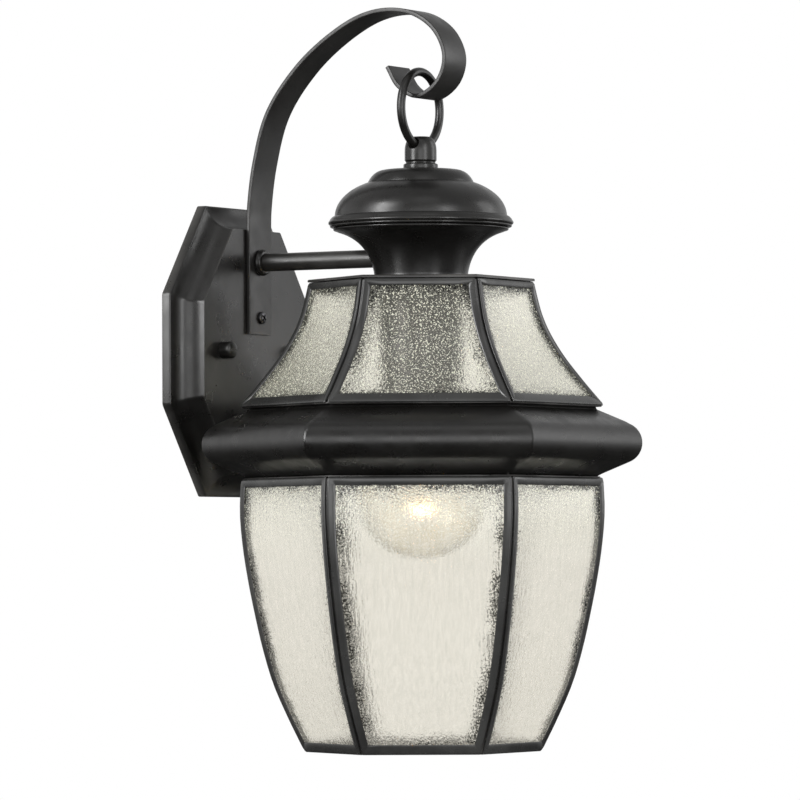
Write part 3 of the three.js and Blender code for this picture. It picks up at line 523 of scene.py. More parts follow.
# ------------------------------------------------------------------ glazing
class Side:
    """The outline of one glazed side, read from the CAD frame of the front side.

    rows holds (height, apothem of the outer face), edge the half gap between frames.
    """

    LEVEL_GAP = 5 * MM          # CAD levels closer than this are one level

    def __init__(self, node):
        vertices = frame["nodes"][node].data.vertices
        levels = {}
        for v in vertices:
            key = round(v.co.z, 5)
            apothem = AXIS_Y - v.co.y
            levels[key] = max(levels.get(key, 0.0), apothem)
        self.bottom, self.top = span(node, 2)
        rows = sorted(levels.items())
        self.rows = [rows[0]]
        for z, apothem in rows[1:]:
            if z - self.rows[-1][0] > self.LEVEL_GAP:
                self.rows.append((z, apothem))
        if self.rows[-1][0] < rows[-1][0]:
            self.rows[-1] = rows[-1]
        low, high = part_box(node)
        widest = max(levels.values())
        self.edge = widest * TAN30 - (high.x - low.x) / 2
        at_top = [AXIS_Y - v.co.y for v in vertices if abs(v.co.z - self.top) < 1e-5]
        self.depth = (max(at_top) - min(at_top)) * self.tilt(self.top)

    def apothem(self, z):
        """Outer face at a height: a smooth curve through the CAD levels."""
        rows = self.rows
        z = min(max(z, rows[0][0]), rows[-1][0])
        k = 0
        while k < len(rows) - 2 and rows[k + 1][0] < z:
            k += 1
        z0, a0 = rows[k]
        z1, a1 = rows[k + 1]
        slope0, slope1 = self._slope(k), self._slope(k + 1)
        h = z1 - z0
        t = (z - z0) / h
        return ((2 * t ** 3 - 3 * t ** 2 + 1) * a0 + (t ** 3 - 2 * t ** 2 + t) * h * slope0
                + (-2 * t ** 3 + 3 * t ** 2) * a1 + (t ** 3 - t ** 2) * h * slope1)

    def _slope(self, k):
        rows = self.rows
        low, high = rows[max(k - 1, 0)], rows[min(k + 1, len(rows) - 1)]
        return (high[1] - low[1]) / (high[0] - low[0])

    def tilt(self, z):
        """Cosine of the face's lean at a height."""
        step = 0.5 * MM
        low, high = max(z - step, self.bottom), min(z + step, self.top)
        slope = (self.apothem(high) - self.apothem(low)) / (high - low)
        return 1 / math.sqrt(1 + slope * slope)

    def point(self, across, z, depth):
        """A point at a depth under the outer face of the front side."""
        return Vector((across, AXIS_Y - (self.apothem(z) - depth / self.tilt(z)), z))

    def half_width(self, z, depth):
        return (self.apothem(z) - depth / self.tilt(z)) * TAN30 - self.edge


def turned(bm, index):
    """Turns a copy of the front side into its place around the lantern's axis."""
    axis = Matrix.Translation((0, AXIS_Y, 0))
    turn = Matrix.Rotation(index * math.pi / 3, 4, "Z")
    bm.transform(axis @ turn @ axis.inverted())
    return bm


CHANNEL_SHEET = 0.8 * MM
CHANNEL_ROUND = 1.15 * MM       # radius of the channel's outer edge
LIP_ROUND = 0.35 * MM           # radius of the channel's lip over the glass
CORNER_SEAM = 0.012             # share of a stile that a corner's seam takes
SEAM_SINK = 0.22 * MM


def channel_section(width, depth):
    """The channel's outline as (inwards from the edge, depth under the face)."""
    r, sheet = CHANNEL_ROUND, CHANNEL_SHEET
    return (
        [(0, depth), (0, 2.0 * MM), (0.02 * MM, 1.6 * MM)]
        + arc((r, r), r, 180, 270, 6)
        + [(width * 0.42, 0.0), (width * 0.6, 0.06 * MM), (width * 0.8, 0.22 * MM)]
        + arc((width - LIP_ROUND, 0.72 * MM), LIP_ROUND, 290, 360, 3)
        + [(width, sheet), (sheet, sheet), (sheet, depth - sheet), (width, depth - sheet),
           (width, depth)]
    )


def glazing_frame(side, widths):
    """A channel frame: two curved stiles and two rails, mitred at the corners."""
    stile, top_rail, bottom_rail = widths
    section = channel_section(stile, side.depth)
    stile_steps = [0, CORNER_SEAM] + [k / 22 for k in range(1, 22)] + [1 - CORNER_SEAM]
    rail_steps = [0, 0.02] + [k / 8 for k in range(1, 8)] + [0.98]

    def member(kind, t):
        ring = []
        sink = SEAM_SINK if t == 0 else 0.0
        for w, d in section:
            low = side.bottom + w * bottom_rail / stile
            high = side.top - w * top_rail / stile
            heights = {"left": low + (high - low) * t, "right": high + (low - high) * t,
                       "top": high, "bottom": low}
            z = heights[kind]
            depth = d + sink if d < CHANNEL_SHEET else d
            narrowing = side.half_width(z, 0) - side.half_width(z, depth)
            reach = side.half_width(z, 0) - w - narrowing * (1 - w / stile)
            places = {"left": -reach, "right": reach, "top": -reach + 2 * reach * t,
                      "bottom": reach - 2 * reach * t}
            ring.append(side.point(places[kind], z, max(depth, -0.05 * MM)))
        return ring

    rings = []
    for kind, steps in (("left", stile_steps), ("top", rail_steps),
                        ("right", stile_steps), ("bottom", rail_steps)):
        rings += [member(kind, t) for t in steps]
    bm = bmesh.new()
    skin(bm, rings, wrap=True)
    return bm


PANE_INSET = 1.0 * MM           # the pane starts this far inside the frame's outline


def pane(side):
    """A curved sheet of glass in the channel; "rim" is the distance from its edge."""
    bm = bmesh.new()
    rim = bm.verts.layers.float.new("rim")
    low, high = side.bottom + PANE_INSET, side.top - PANE_INSET
    rows, columns = 32, 24
    grids = []
    for depth in (PANE_INSET, side.depth - PANE_INSET):
        grid = []
        for r in range(rows + 1):
            z = low + (high - low) * r / rows
            half = side.half_width(z, depth) - PANE_INSET / COS30
            row = []
            for c in range(columns + 1):
                across = -half + 2 * half * c / columns
                corner = bm.verts.new(side.point(across, z, depth))
                up_down = min(z - low, high - z) / side.tilt(z)
                corner[rim] = min(half - abs(across), up_down) / MM
                row.append(corner)
            grid.append(row)
        grids.append(grid)
    for grid in grids:
        for r in range(rows):
            for c in range(columns):
                bm.faces.new((grid[r][c], grid[r][c + 1], grid[r + 1][c + 1], grid[r + 1][c]))
    front, back = grids
    border = ([(r, 0) for r in range(rows)] + [(rows, c) for c in range(columns)]
              + [(r, columns) for r in range(rows, 0, -1)]
              + [(0, c) for c in range(columns, 0, -1)])
    for (r0, c0), (r1, c1) in zip(border, border[1:] + border[:1]):
        bm.faces.new((front[r0][c0], front[r1][c1], back[r1][c1], back[r0][c0]))
    return bm


UPPER = Side("upper_frame_front")
LOWER = Side("lower_frame_front")
UPPER_WIDTHS = (4 * MM, 3.4 * MM, 4.2 * MM)    # stile, top rail, bottom rail
LOWER_WIDTHS = (4 * MM, 4 * MM, 4.6 * MM)
for index, name in enumerate(SIDES):
    for level, side, widths in (("upper", UPPER, UPPER_WIDTHS), ("lower", LOWER, LOWER_WIDTHS)):
        finish_piece(f"{level}_came_{name}", turned(glazing_frame(side, widths), index), CHANNEL,
                     "lantern", [f"{level}_frame_{name}"], 40)
        finish_piece(f"{level}_pane_{name}", turned(pane(side), index), SEEDY,
                     "lantern", [f"{level}_glass_{name}"], 60)


SEAM_STEPS = 24
SEAM_R = 0.95 * MM              # fills the gap between neighbouring frames
JOINT_R = 0.45 * MM             # fills the joint between the frames and the collar


def solder_seams(side, joint_z):
    """Blackened solder that closes the six corners and the joint with the collar."""
    depth = side.depth / 2
    path = []
    for k in range(SEAM_STEPS + 1):
        z = side.bottom + SEAM_R + (side.top - side.bottom - 2 * SEAM_R) * k / SEAM_STEPS
        reach = side.apothem(z) - depth / side.tilt(z)
        path.append(side.point(reach * TAN30, z, depth))
    parts = [turned(tube_along(path, SEAM_R, 12), index) for index in range(len(SIDES))]
    corner = (side.apothem(joint_z) - depth) / COS30
    parts.append(spun(arc((corner, joint_z), JOINT_R, 0, 330, 11), 6, CENTRE))
    return joined(parts)


COLLAR_LOW, COLLAR_HIGH = span("collar", 2)
finish_piece("upper_solder_seams", solder_seams(UPPER, (COLLAR_HIGH + UPPER.bottom) / 2), DARK,
             "lantern", [], 60)
finish_piece("lower_solder_seams", solder_seams(LOWER, (COLLAR_LOW + LOWER.top) / 2), DARK,
             "lantern", [], 60)


# ------------------------------------------------------------------ collar
COLLAR_REACH = 21.5 * MM        # from the collar's lips to its nose
COLLAR_LIP = 7.5 * MM
COLLAR_NOSE_R = 9.5 * MM
COLLAR_SLOPE = 23               # degrees
COLLAR_SHEET = 1.2 * MM
COLLAR_SEAM = 0.35 * MM         # depth of the seam at a mitre


def collar_section():
    """The collar's outer and inner faces, as (reach, height)."""
    z0, z1 = COLLAR_LOW, COLLAR_HIGH
    nose = radius("collar")
    lip = nose - COLLAR_REACH
    root = lip + 0.6 * MM       # where the slopes leave the lips
    mid = (z0 + z1) / 2 - 0.6 * MM
    end = 90 - COLLAR_SLOPE
    ball = arc((nose - COLLAR_NOSE_R, mid), COLLAR_NOSE_R, end, -end, 18)
    run = ball[0][0] - lip
    rise = run * math.tan(math.radians(COLLAR_SLOPE))
    top, bottom = ball[0][1], ball[-1][1]
    outer = [(lip - COLLAR_LIP, z1), (lip - 0.4 * MM, z1), (lip, z1 - 0.3 * MM)]
    outer += [(root + run * k / 6, top + rise * (1 - k / 6)) for k in range(6)]
    outer += ball
    outer += [(ball[-1][0] - run * k / 6, bottom - rise * k / 6) for k in range(1, 6)]
    outer += [(root, bottom - rise), (lip, z0 + 0.3 * MM), (lip - 0.4 * MM, z0),
              (lip - COLLAR_LIP, z0)]
    return outer, offset(outer, -COLLAR_SHEET)[::-1]


def collar():
    """Six mitred lengths of bullet section, with a fine seam at each mitre."""
    outer, inner = collar_section()
    bm = bmesh.new()
    rings = []
    for k in range(6):
        a0, a1 = math.radians(60 * k), math.radians(60 * (k + 1))
        for t in (0.0, 0.006, 0.02, 0.2, 0.4, 0.6, 0.8, 0.98, 0.994):
            sink = COLLAR_SEAM if t == 0.0 else 0.0
            ring = []
            for reach, z in [(reach - sink, z) for reach, z in outer] + inner:
                p0 = Vector((reach * math.cos(a0), reach * math.sin(a0)))
                p1 = Vector((reach * math.cos(a1), reach * math.sin(a1)))
                p = p0.lerp(p1, t)
                ring.append(Vector((p.x, AXIS_Y + p.y, z)))
            rings.append(ring)
    skin(bm, rings, wrap=True)
    return bm


dark_piece("collar_band", collar(), "collar", 32)


# ------------------------------------------------------------------ top plate, neck, cap
def hex_tray():
    """The hexagonal plate over the upper panes, with a small rounded edge."""
    low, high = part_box("top_plate")
    corner = (high.x - low.x) / 2
    z1 = high.z
    z0 = z1 - 1.2 * MM
    skirt = corner - 5.6 * MM
    hole = radius("stem_pipe") + 0.2 * MM
    profile = [(hole, z1), (corner - 0.5 * MM, z1), (corner - 0.15 * MM, z1 - 0.15 * MM),
               (corner, z1 - 0.5 * MM), (corner, z0), (skirt, z0), (skirt, low.z),
               (skirt - 1 * MM, low.z), (skirt - 1 * MM, z0), (hole, z0)]
    return spun(profile, 6, CENTRE)


def neck_profile():
    """The neck's flare from its foot to its lip, 1 mm thick."""
    z0, z1 = span("neck", 2)
    lip = radius("neck") - 1.2 * MM
    foot = radius("neck") - 20.1 * MM
    flare = bezier((foot, z0 + 1.6 * MM), (foot + 1 * MM, z0 + 10 * MM),
                   (foot + 5.5 * MM, z0 + 18.5 * MM), (lip - 2.2 * MM, z1 - 1.9 * MM), 40)
    outer = ([(STEM_HOLE, z0), (foot - 0.5 * MM, z0)]
             + arc((foot - 0.4 * MM, z0 + 0.6 * MM), 0.6 * MM, -80, 0, 4) + flare
             + [(lip - 0.9 * MM, z1 - 1.35 * MM)]
             + arc((lip - 0.65 * MM, z1 - 0.65 * MM), 0.65 * MM, -60, 90, 6))
    inner = offset(outer[2:-3], 1 * MM)
    return outer + inner[::-1] + [(foot - 1.6 * MM, z0 + 1 * MM), (STEM_HOLE, z0 + 1 * MM)]


def cap_profile():
    """The cap's shoulder, dome, flange and rolled rim, 1 mm thick."""
    z0, z1 = span("cap", 2)
    rim = radius("cap")
    dome_r = rim - 3 * MM
    shoulder_r = dome_r - 15.5 * MM
    top_r = shoulder_r - 8.7 * MM
    shoulder = bezier((top_r, z1), (top_r + 3.2 * MM, z1), (shoulder_r - 2.4 * MM, z1 - 0.8 * MM),
                      (shoulder_r, z1 - 5.4 * MM), 14)
    dome = bezier((shoulder_r + 1.2 * MM, z1 - 6.2 * MM), (dome_r - 6.6 * MM, z1 - 9 * MM),
                  (dome_r - 0.7 * MM, z1 - 14 * MM), (dome_r, z1 - 20.6 * MM), 24)
    flange = bezier((dome_r + 0.1 * MM, z0 + 5.2 * MM), (dome_r + 0.9 * MM, z0 + 5.1 * MM),
                    (rim - 1.4 * MM, z0 + 4.5 * MM), (rim - 0.75 * MM, z0 + 3.6 * MM), 8)
    bead = arc((rim - 0.95 * MM, z0 + 2.1 * MM), 0.95 * MM, 62, -62, 8)
    lower_bead = arc((rim - 1.35 * MM, z0 + 0.6 * MM), 0.6 * MM, 45, -90, 6)
    outer = ([(STEM_HOLE, z1)] + shoulder + [(shoulder_r + 0.25 * MM, z1 - 6 * MM)] + dome
             + flange + bead + lower_bead + [(rim - 2.6 * MM, z0)])
    inner = [(dome_r - 1.2 * MM, z0), (dome_r - 1.2 * MM, z0 + 5 * MM)]
    inner += offset(dome, -1 * MM)[::-1][2:] + offset(shoulder, -1 * MM)[::-1]
    return outer + inner + [(STEM_HOLE, z1 - 1 * MM)]


dark_piece("top_tray", hex_tray(), "top_plate", 30)
neck = dark_piece("neck_spinning", spun(neck_profile(), ROUND, CENTRE), "neck", 40)
dark_piece("cap_spinning", spun(cap_profile(), ROUND, CENTRE), "cap", 40)


# ------------------------------------------------------------------ finial and ring
RING_LOW, RING_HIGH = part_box("hanging_ring")
WIRE = (RING_HIGH.y - RING_LOW.y) / 2
RING_R = (RING_HIGH.x - RING_LOW.x) / 2 - WIRE
RING_CENTRE = Vector((0, middle("hanging_ring").y, middle("hanging_ring").z))


def ring_mesh(wire, segments, around):
    bm = bmesh.new()
    rings = []
    for k in range(segments):
        angle = 2 * math.pi * k / segments
        out = Vector((math.cos(angle), 0, math.sin(angle)))
        ring = []
        for m in range(around):
            turn = 2 * math.pi * m / around
            ring.append(RING_CENTRE + out * (RING_R + wire * math.cos(turn))
                        + Vector((0, wire * math.sin(turn), 0)))
        rings.append(ring)
    skin(bm, rings, wrap=True)
    return bm


def finial_profile():
    """The finial's flange, waist and domed body."""
    z0, z1 = span("finial", 2)
    flange = radius("finial")
    body = flange - 0.6 * MM
    bore = radius("stem_pipe") + 0.2 * MM
    top = bezier((body, z0 + 8.2 * MM), (body, z1 - 2.6 * MM), (body - 1.6 * MM, z1),
                 (body / 2, z1), 16)
    return ([(bore, z0)]
            + arc((flange - 0.4 * MM, z0 + 0.4 * MM), 0.4 * MM, -90, 0, 4)
            + arc((flange - 0.7 * MM, z0 + 2.0 * MM), 0.7 * MM, 0, 80, 4)
            + [(body - 0.5 * MM, z0 + 2.9 * MM), (body - 0.6 * MM, z0 + 3.4 * MM),
               (body - 0.35 * MM, z0 + 3.9 * MM), (body, z0 + 4.3 * MM)]
            + top + [(0, z1), (0, z0 + 5.7 * MM), (bore, z0 + 5.7 * MM)])


finial = dark_piece("finial_turning", spun(finial_profile(), 64, CENTRE), "finial", 40)
cut_with(finial, ring_mesh(WIRE + 0.9 * MM, 96, 24))
finish_piece("ring_wire", ring_mesh(WIRE, 128, 20), DARK, "ring",
             ["hanging_ring"], 60)


# ------------------------------------------------------------------ scroll strap and arm
STRAP_X0, STRAP_X1 = span("scroll_strap", 0)
STRAP_SHEET = 2 * MM
# the strap's middle line as (y, z) in mm, from its foot on the plate to the end of its curl
STRAP_ROUTE = [(0, y * MM, z * MM) for y, z in (
    (-17.3, 8.2), (-17.3, 30), (-17.3, 58), (-17.6, 67), (-20.6, 87.7), (-28, 111.2), (-44, 131.7),
    (-63, 146.2), (-80, 154.2), (-95, 156.1), (-108.7, 153.2), (-119.5, 145), (-124.3, 133),
    (-120.5, 122), (-109.5, 115.6), (-99.5, 120.7), (-93.7, 129.8))]
ARM = middle("arm_tube")
ARM_R = radius("arm_tube")
SCREW = middle("strap_screw")
PLATE_Y = span("wall_plate", 1)[0]
HOLE_PLAY = 0.15 * MM
ARM_HOLE = ARM_R + HOLE_PLAY
SCREW_R = 1.6 * MM
SCREW_HOLE = SCREW_R + HOLE_PLAY

strap_section = rounded_box_section(STRAP_X1 - STRAP_X0, STRAP_SHEET, 0.45 * MM)
strap = finish_piece("strap_ribbon", swept(spline(STRAP_ROUTE, 14), strap_section), STRAP_METAL_LIT,
                     "lantern", ["scroll_strap"], 50)
cut_with(strap, along_wall(ARM_HOLE, 0, ARM.z, 12 * MM, 22 * MM),
         along_wall(SCREW_HOLE, 0, SCREW.z, 12 * MM, 22 * MM))


def off_wall(node):
    """Nearest and farthest distance of a CAD node from the wall."""
    low, high = span(node, 1)
    return -high, -low


def arm_ring_profile():
    y0, y1 = off_wall("arm_ring")
    r = radius("arm_ring")
    return ([(ARM_HOLE, y0)] + arc((r - 1.0 * MM, y0 + 1.0 * MM), 1.0 * MM, -80, 20, 6)
            + [(r - 0.35 * MM, (y0 + y1) / 2 + 0.1 * MM)]
            + arc((r - 1.3 * MM, y1 - 0.9 * MM), 0.9 * MM, 10, 90, 5) + [(ARM_HOLE, y1)])


def arm_profile():
    y0, y1 = off_wall("arm_tube")
    bore = ARM_R - 1 * MM
    return [(bore, y0), (ARM_R - 0.2 * MM, y0), (ARM_R, y0 + 0.2 * MM), (ARM_R, y1 - 0.2 * MM),
            (ARM_R - 0.2 * MM, y1), (bore, y1)]


dark_piece("arm_pipe", lay_out(spun(arm_profile(), 48), 0, ARM.z), "arm_tube", 30)
dark_piece("arm_collet", lay_out(spun(arm_ring_profile(), 64), 0, ARM.z), "arm_ring", 45)
cut_with(neck, along_wall(ARM_HOLE, 0, ARM.z, 60 * MM, -AXIS_Y - 12 * MM))


# ------------------------------------------------------------------ wall plate
CORNER_X, CORNER_Z = 30.2 * MM, 42.3 * MM      # what each cut corner takes off
CORNER_BEND = 1.0 * MM
CORNER_STEPS = 4
RIM_Y = -4.6 * MM
RIM_FOLD = 0.7 * MM
PLATE_SHEET = 1.2 * MM
COVE = 9.8 * MM


def octagon(inset, y):
    """The plate's outline moved in by inset, with its corners slightly rounded."""
    half_w, half_h = radius("wall_plate"), radius("wall_plate", 2)
    slant = math.hypot(CORNER_X, CORNER_Z)
    nx, nz = CORNER_Z / slant, CORNER_X / slant
    reach = nx * half_w + nz * (half_h - CORNER_Z) - inset
    w, h = half_w - inset, half_h - inset
    side_z = (reach - nx * w) / nz
    top_x = (reach - nz * h) / nx
    corners = [(w, -side_z), (w, side_z), (top_x, h), (-top_x, h),
               (-w, side_z), (-w, -side_z), (-top_x, -h), (top_x, -h)]
    ring = []
    for k, corner in enumerate(corners):
        here = Vector(corner)
        to_before = (Vector(corners[k - 1]) - here).normalized()
        to_after = (Vector(corners[(k + 1) % 8]) - here).normalized()
        start, stop = here + to_before * CORNER_BEND, here + to_after * CORNER_BEND
        for m in range(CORNER_STEPS + 1):
            t = m / CORNER_STEPS
            p = start.lerp(here, t).lerp(here.lerp(stop, t), t)
            ring.append(Vector((p.x, y, p.y)))
    return ring


def wall_plate():
    """The pressed pan: a rim, a fold, a cove and a flat face."""
    rows = [(0.0, 0.0), (0.0, RIM_Y + RIM_FOLD)]
    rows += [(RIM_FOLD * (1 - math.cos(a)), RIM_Y + RIM_FOLD * (1 - math.sin(a)))
             for a in (math.radians(30), math.radians(60), math.radians(90))]
    for k in range(15):
        a = math.radians(90 * k / 14)
        rows.append((1.0 * MM + COVE * math.sin(a), RIM_Y + (PLATE_Y - RIM_Y) * (1 - math.cos(a))))
    rows.append((rows[-1][0] + 0.5 * MM, PLATE_Y))
    outside = [octagon(i, y) for i, y in rows]
    inside = [octagon(i + PLATE_SHEET, min(y + PLATE_SHEET, 0.0)) for i, y in rows]
    bm = bmesh.new()
    front = skin(bm, outside)
    back = skin(bm, inside)
    bm.faces.new(front[-1])
    bm.faces.new(back[-1][::-1])
    count = len(front[0])
    for k in range(count):
        m = (k + 1) % count
        bm.faces.new((front[0][k], back[0][k], back[0][m], front[0][m]))
    return bm


STUD_X = middle("mounting_stud_right").x
STUD_HOLE = radius("mounting_stud_right") + HOLE_PLAY
PLATE_HOLES = ((ARM_HOLE, 0, ARM.z), (SCREW_HOLE, 0, SCREW.z),
               (STUD_HOLE, STUD_X, 0), (STUD_HOLE, -STUD_X, 0))
plate = dark_piece("plate_pan", wall_plate(), "wall_plate", 28)
cut_with(plate, *(along_wall(r, x, z, 10 * MM, 20 * MM) for r, x, z in PLATE_HOLES))


def cap_nut(node):
    """A round nut with a shallow dome and a blind bore for its stud."""
    y0, y1 = off_wall(node)
    r = radius(node)
    deep = y1 - 2.4 * MM
    shape = ([(STUD_HOLE, y0), (r - 0.3 * MM, y0), (r, y0 + 0.3 * MM), (r, y1 - 2.6 * MM)]
             + bezier((r, y1 - 2.2 * MM), (r, y1 - 0.9 * MM), (r * 0.62, y1), (0, y1), 10)
             + [(0, deep), (STUD_HOLE, deep)])
    return lay_out(spun(shape, 48), middle(node).x, middle(node).z)


NUT_SLOT = (12 * MM, 1.8 * MM, 1.0 * MM)
for side in ("left", "right"):
    node = f"cap_nut_{side}"
    nut = finish_piece(f"plate_cap_nut_{side}", cap_nut(node), DARK, f"{side}_cap_nut",
                       [node], 40)
    cut_with(nut, block((middle(node).x, span(node, 1)[0], 0), NUT_SLOT))


SCREW_HEAD_R = 2.9 * MM
SCREW_HEAD = 1.9 * MM           # thickness of the head
SCREW_BLADE = (3.8 * MM, 2.2 * MM, 0.9 * MM)
SCREW_TURN = 0.6                # how far its cross recess is turned, in radians


def screw_profile():
    """The strap screw's shank and pan head."""
    tip, top = off_wall("strap_screw")
    seat = top - SCREW_HEAD
    r, shank_r = SCREW_HEAD_R, SCREW_R
    dome = bezier((r, seat + 0.45 * SCREW_HEAD), (r, top - 0.1 * SCREW_HEAD),
                  (r * 0.6, top), (0, top), 10)
    return [(0, tip), (shank_r - 0.3 * MM, tip), (shank_r, tip + 0.3 * MM), (shank_r, seat),
            (r - 0.2 * MM, seat), (r, seat + 0.2 * MM)] + dome


screw = finish_piece("strap_screw_head", lay_out(spun(screw_profile(), 40), 0, SCREW.z), BLACKED,
                     "lantern", ["strap_screw"], 40)
screw_face = (0, span("strap_screw", 1)[0], SCREW.z)
cut_with(screw, *(block(screw_face, SCREW_BLADE, turn)
                  for turn in (SCREW_TURN, SCREW_TURN + math.pi / 2)))


# ------------------------------------------------------------------ lamp holder and lamp
def screw_shell():
    """The brass tube that takes the lamp's screw."""
    z0, z1 = span("socket_shell", 2)
    r = radius("socket_shell")
    wall, edge = 0.5 * MM, 0.15 * MM
    return spun([(r - wall, z0), (r - edge, z0), (r, z0 + edge), (r, z1 - edge),
                 (r - edge, z1), (r - wall, z1)], 72, CENTRE)


def socket_cup():
    """The round cover tube, closed at its top."""
    z0, z1 = span("socket_cup", 2)
    r = radius("socket_cup")
    wall, bend = 0.8 * MM, 1.2 * MM
    shape = ([(STEM_HOLE, z1)] + arc((r - bend, z1 - bend), bend, 90, 0, 6)
             + [(r, z0 + 0.9 * MM), (r, z0), (r - wall, z0), (r - wall, z1 - wall),
                (STEM_HOLE, z1 - wall)])
    return spun(shape, 80, CENTRE)


ENVELOPE_WALL = 0.7 * MM
FACET_LOSS = 1.003              # the round envelope is this much wider than its faceted solid


def lamp_envelope():
    """A pear-shaped bulb that hangs base-up."""
    z0, z1 = span("lamp_glass", 2)
    r = radius("lamp_glass") * FACET_LOSS
    neck_r = radius("lamp_base") - 1.2 * MM
    ball_z = z0 + r
    ball = arc((0, ball_z), r, -90, 25, 40)
    shoulder = bezier(ball[-1], (r - 6.5 * MM, ball_z + 26 * MM),
                      (neck_r + 2 * MM, z1 - 20 * MM), (neck_r, z1 - 6 * MM), 24)
    outer = ball + shoulder[1:] + [(neck_r, z1)]
    inner = [(max(q[0], 0.0), q[1]) for q in offset(outer, ENVELOPE_WALL)]
    inner[0] = (0.0, outer[0][1] + ENVELOPE_WALL)
    return spun(outer + inner[::-1], 80, CENTRE)


THREAD_PITCH = 3.63 * MM
THREAD_DEPTH = 0.8 * MM
THREADS = 4


def lamp_base():
    """The rolled screw shell, its insulator and the contact."""
    z0, z1 = span("lamp_base", 2)
    r = radius("lamp_base")
    neck_r = r - 1.05 * MM
    half = THREAD_DEPTH / 2
    start = z0 + 4 * MM
    ridges = []
    for k in range(THREADS):
        z = start + k * THREAD_PITCH
        for m in range(8):
            phase = 2 * math.pi * m / 8
            ridges.append((r - half - half * math.cos(phase), z + THREAD_PITCH * m / 8))
    top = start + THREADS * THREAD_PITCH
    shape = ([(neck_r, z0), (r - 0.5 * MM, z0), (r - 0.3 * MM, z0 + 2 * MM)] + ridges
             + [(r - 0.8 * MM, top), (6.5 * MM, z1 - 2.8 * MM), (5 * MM, z1 - 0.9 * MM),
                (4.4 * MM, z1 - 0.3 * MM), (2 * MM, z1), (0, z1), (0, top - 1 * MM),
                (neck_r, top - 3 * MM)])
    return spun(shape, 64, CENTRE)


def lamp_stem():
    """The glass mount inside the lamp, flared at its base."""
    base = span("lamp_stem", 2)[1]
    flare = radius("lamp_stem", 1)
    shape = ([(0, base), (flare, base), (flare - 0.6 * MM, base - 2.5 * MM)]
             + bezier((flare - 1 * MM, base - 3 * MM), (5 * MM, base - 9 * MM),
                      (4 * MM, base - 14 * MM), (3.2 * MM, base - 26 * MM), 14)
             + [(2.2 * MM, base - 29 * MM), (0, base - 29.5 * MM)])
    return spun(shape, 32, CENTRE)


FILAMENT_HALF = radius("lamp_filament") - 0.5 * MM
FILAMENT_TOP = span("lamp_filament", 2)[1]
FILAMENT_SAG = 2.2 * MM
FILAMENT_WIRE = 0.16 * MM
COIL_HALF, COIL_R, COIL_TURNS = 6 * MM, 0.42 * MM, 24


def on_filament(x, angle):
    """A point of the filament, turned about its shallow hanging curve."""
    hang = FILAMENT_TOP - 0.6 * MM - FILAMENT_SAG * (1 - (x / FILAMENT_HALF) ** 2)
    return Vector((x, AXIS_Y + COIL_R * math.cos(angle), hang + COIL_R * math.sin(angle)))


def filament_coil():
    """A short coil between two straight legs."""
    leg = ((FILAMENT_HALF + COIL_HALF) / 2, FILAMENT_HALF)
    per_turn = 10
    count = COIL_TURNS * per_turn
    path = [on_filament(-x, 0) for x in leg[::-1]]
    path += [on_filament(COIL_HALF * (2 * k / count - 1), 2 * math.pi * k / per_turn)
             for k in range(count + 1)]
    path += [on_filament(x, 0) for x in leg]
    return tube_along(path, FILAMENT_WIRE, 6)


def support_wires():
    """Two wires that reach down from the mount to the ends of the filament."""
    wires = []
    top = span("lamp_stem", 2)[1] - 26 * MM
    for side in (-1, 1):
        path = bezier((side * 1.6 * MM, AXIS_Y, top), (side * 3 * MM, AXIS_Y, top - 12 * MM),
                      (side * 9 * MM, AXIS_Y, FILAMENT_TOP + 14 * MM),
                      (side * 11.6 * MM, AXIS_Y, FILAMENT_TOP + 0.2 * MM), 12)
        wires.append(tube_along([Vector(p) for p in path], 0.3 * MM, 8))
    return joined(wires)


dark_piece("holder_cup", socket_cup(), "socket_cup", 40)
finish_piece("screw_shell", screw_shell(), BRASS, "lantern", ["socket_shell"], 40)
finish_piece("lamp_envelope", lamp_envelope(), LAMP, "lamp", ["lamp_glass"], 60)
finish_piece("lamp_screw_base", lamp_base(), ALLOY, "lamp", ["lamp_base"], 40)
finish_piece("lamp_mount", lamp_stem(), STEM, "lamp", ["lamp_stem"], 60)
finish_piece("filament_supports", support_wires(), ALLOY, "lamp", [], 60)
finish_piece("filament_coil", filament_coil(), FILAMENT, "lamp", ["lamp_filament"], 60)


# ------------------------------------------------------------------ pieces kept from the frame
KEPT = {
    ZINC: ("stem_pipe", "stem_lock_nut", "socket_bracket", "arm_plate_nut", "arm_neck_nut",
           "strap_screw_nut", "mounting_bracket", "mounting_stud_left", "mounting_stud_right",
           "stud_lock_nut_left", "stud_lock_nut_right"),
    GREEN: ("ground_screw",),
    PHENOLIC: ("socket_body",),
    BRASS: ("socket_contact",),
    BLACK_WIRE: ("lead_black",),
    WHITE_WIRE: ("lead_white",),
}
for material, names in KEPT.items():
    for name in names:
        node = frame["nodes"][name]
        if not node.material_slots:
            node.data.materials.append(material)
        for slot in node.material_slots:
            slot.material = material


# ------------------------------------------------------------------ camera, floor and lights
# the camera stands where the photograph was taken from, fitted to the hexagonal body
CAMERA_TURN = math.radians(58.86)
CAMERA_PITCH = math.radians(-1.65)
CAMERA_ROLL = math.radians(-0.25)
CAMERA_LENS = 256.05
SENSOR = 36
# from the camera to the body's middle, along the camera's own right, forward and up
CAMERA_AIM = Vector((10.16 * MM, 2622 * MM, -36.15 * MM))


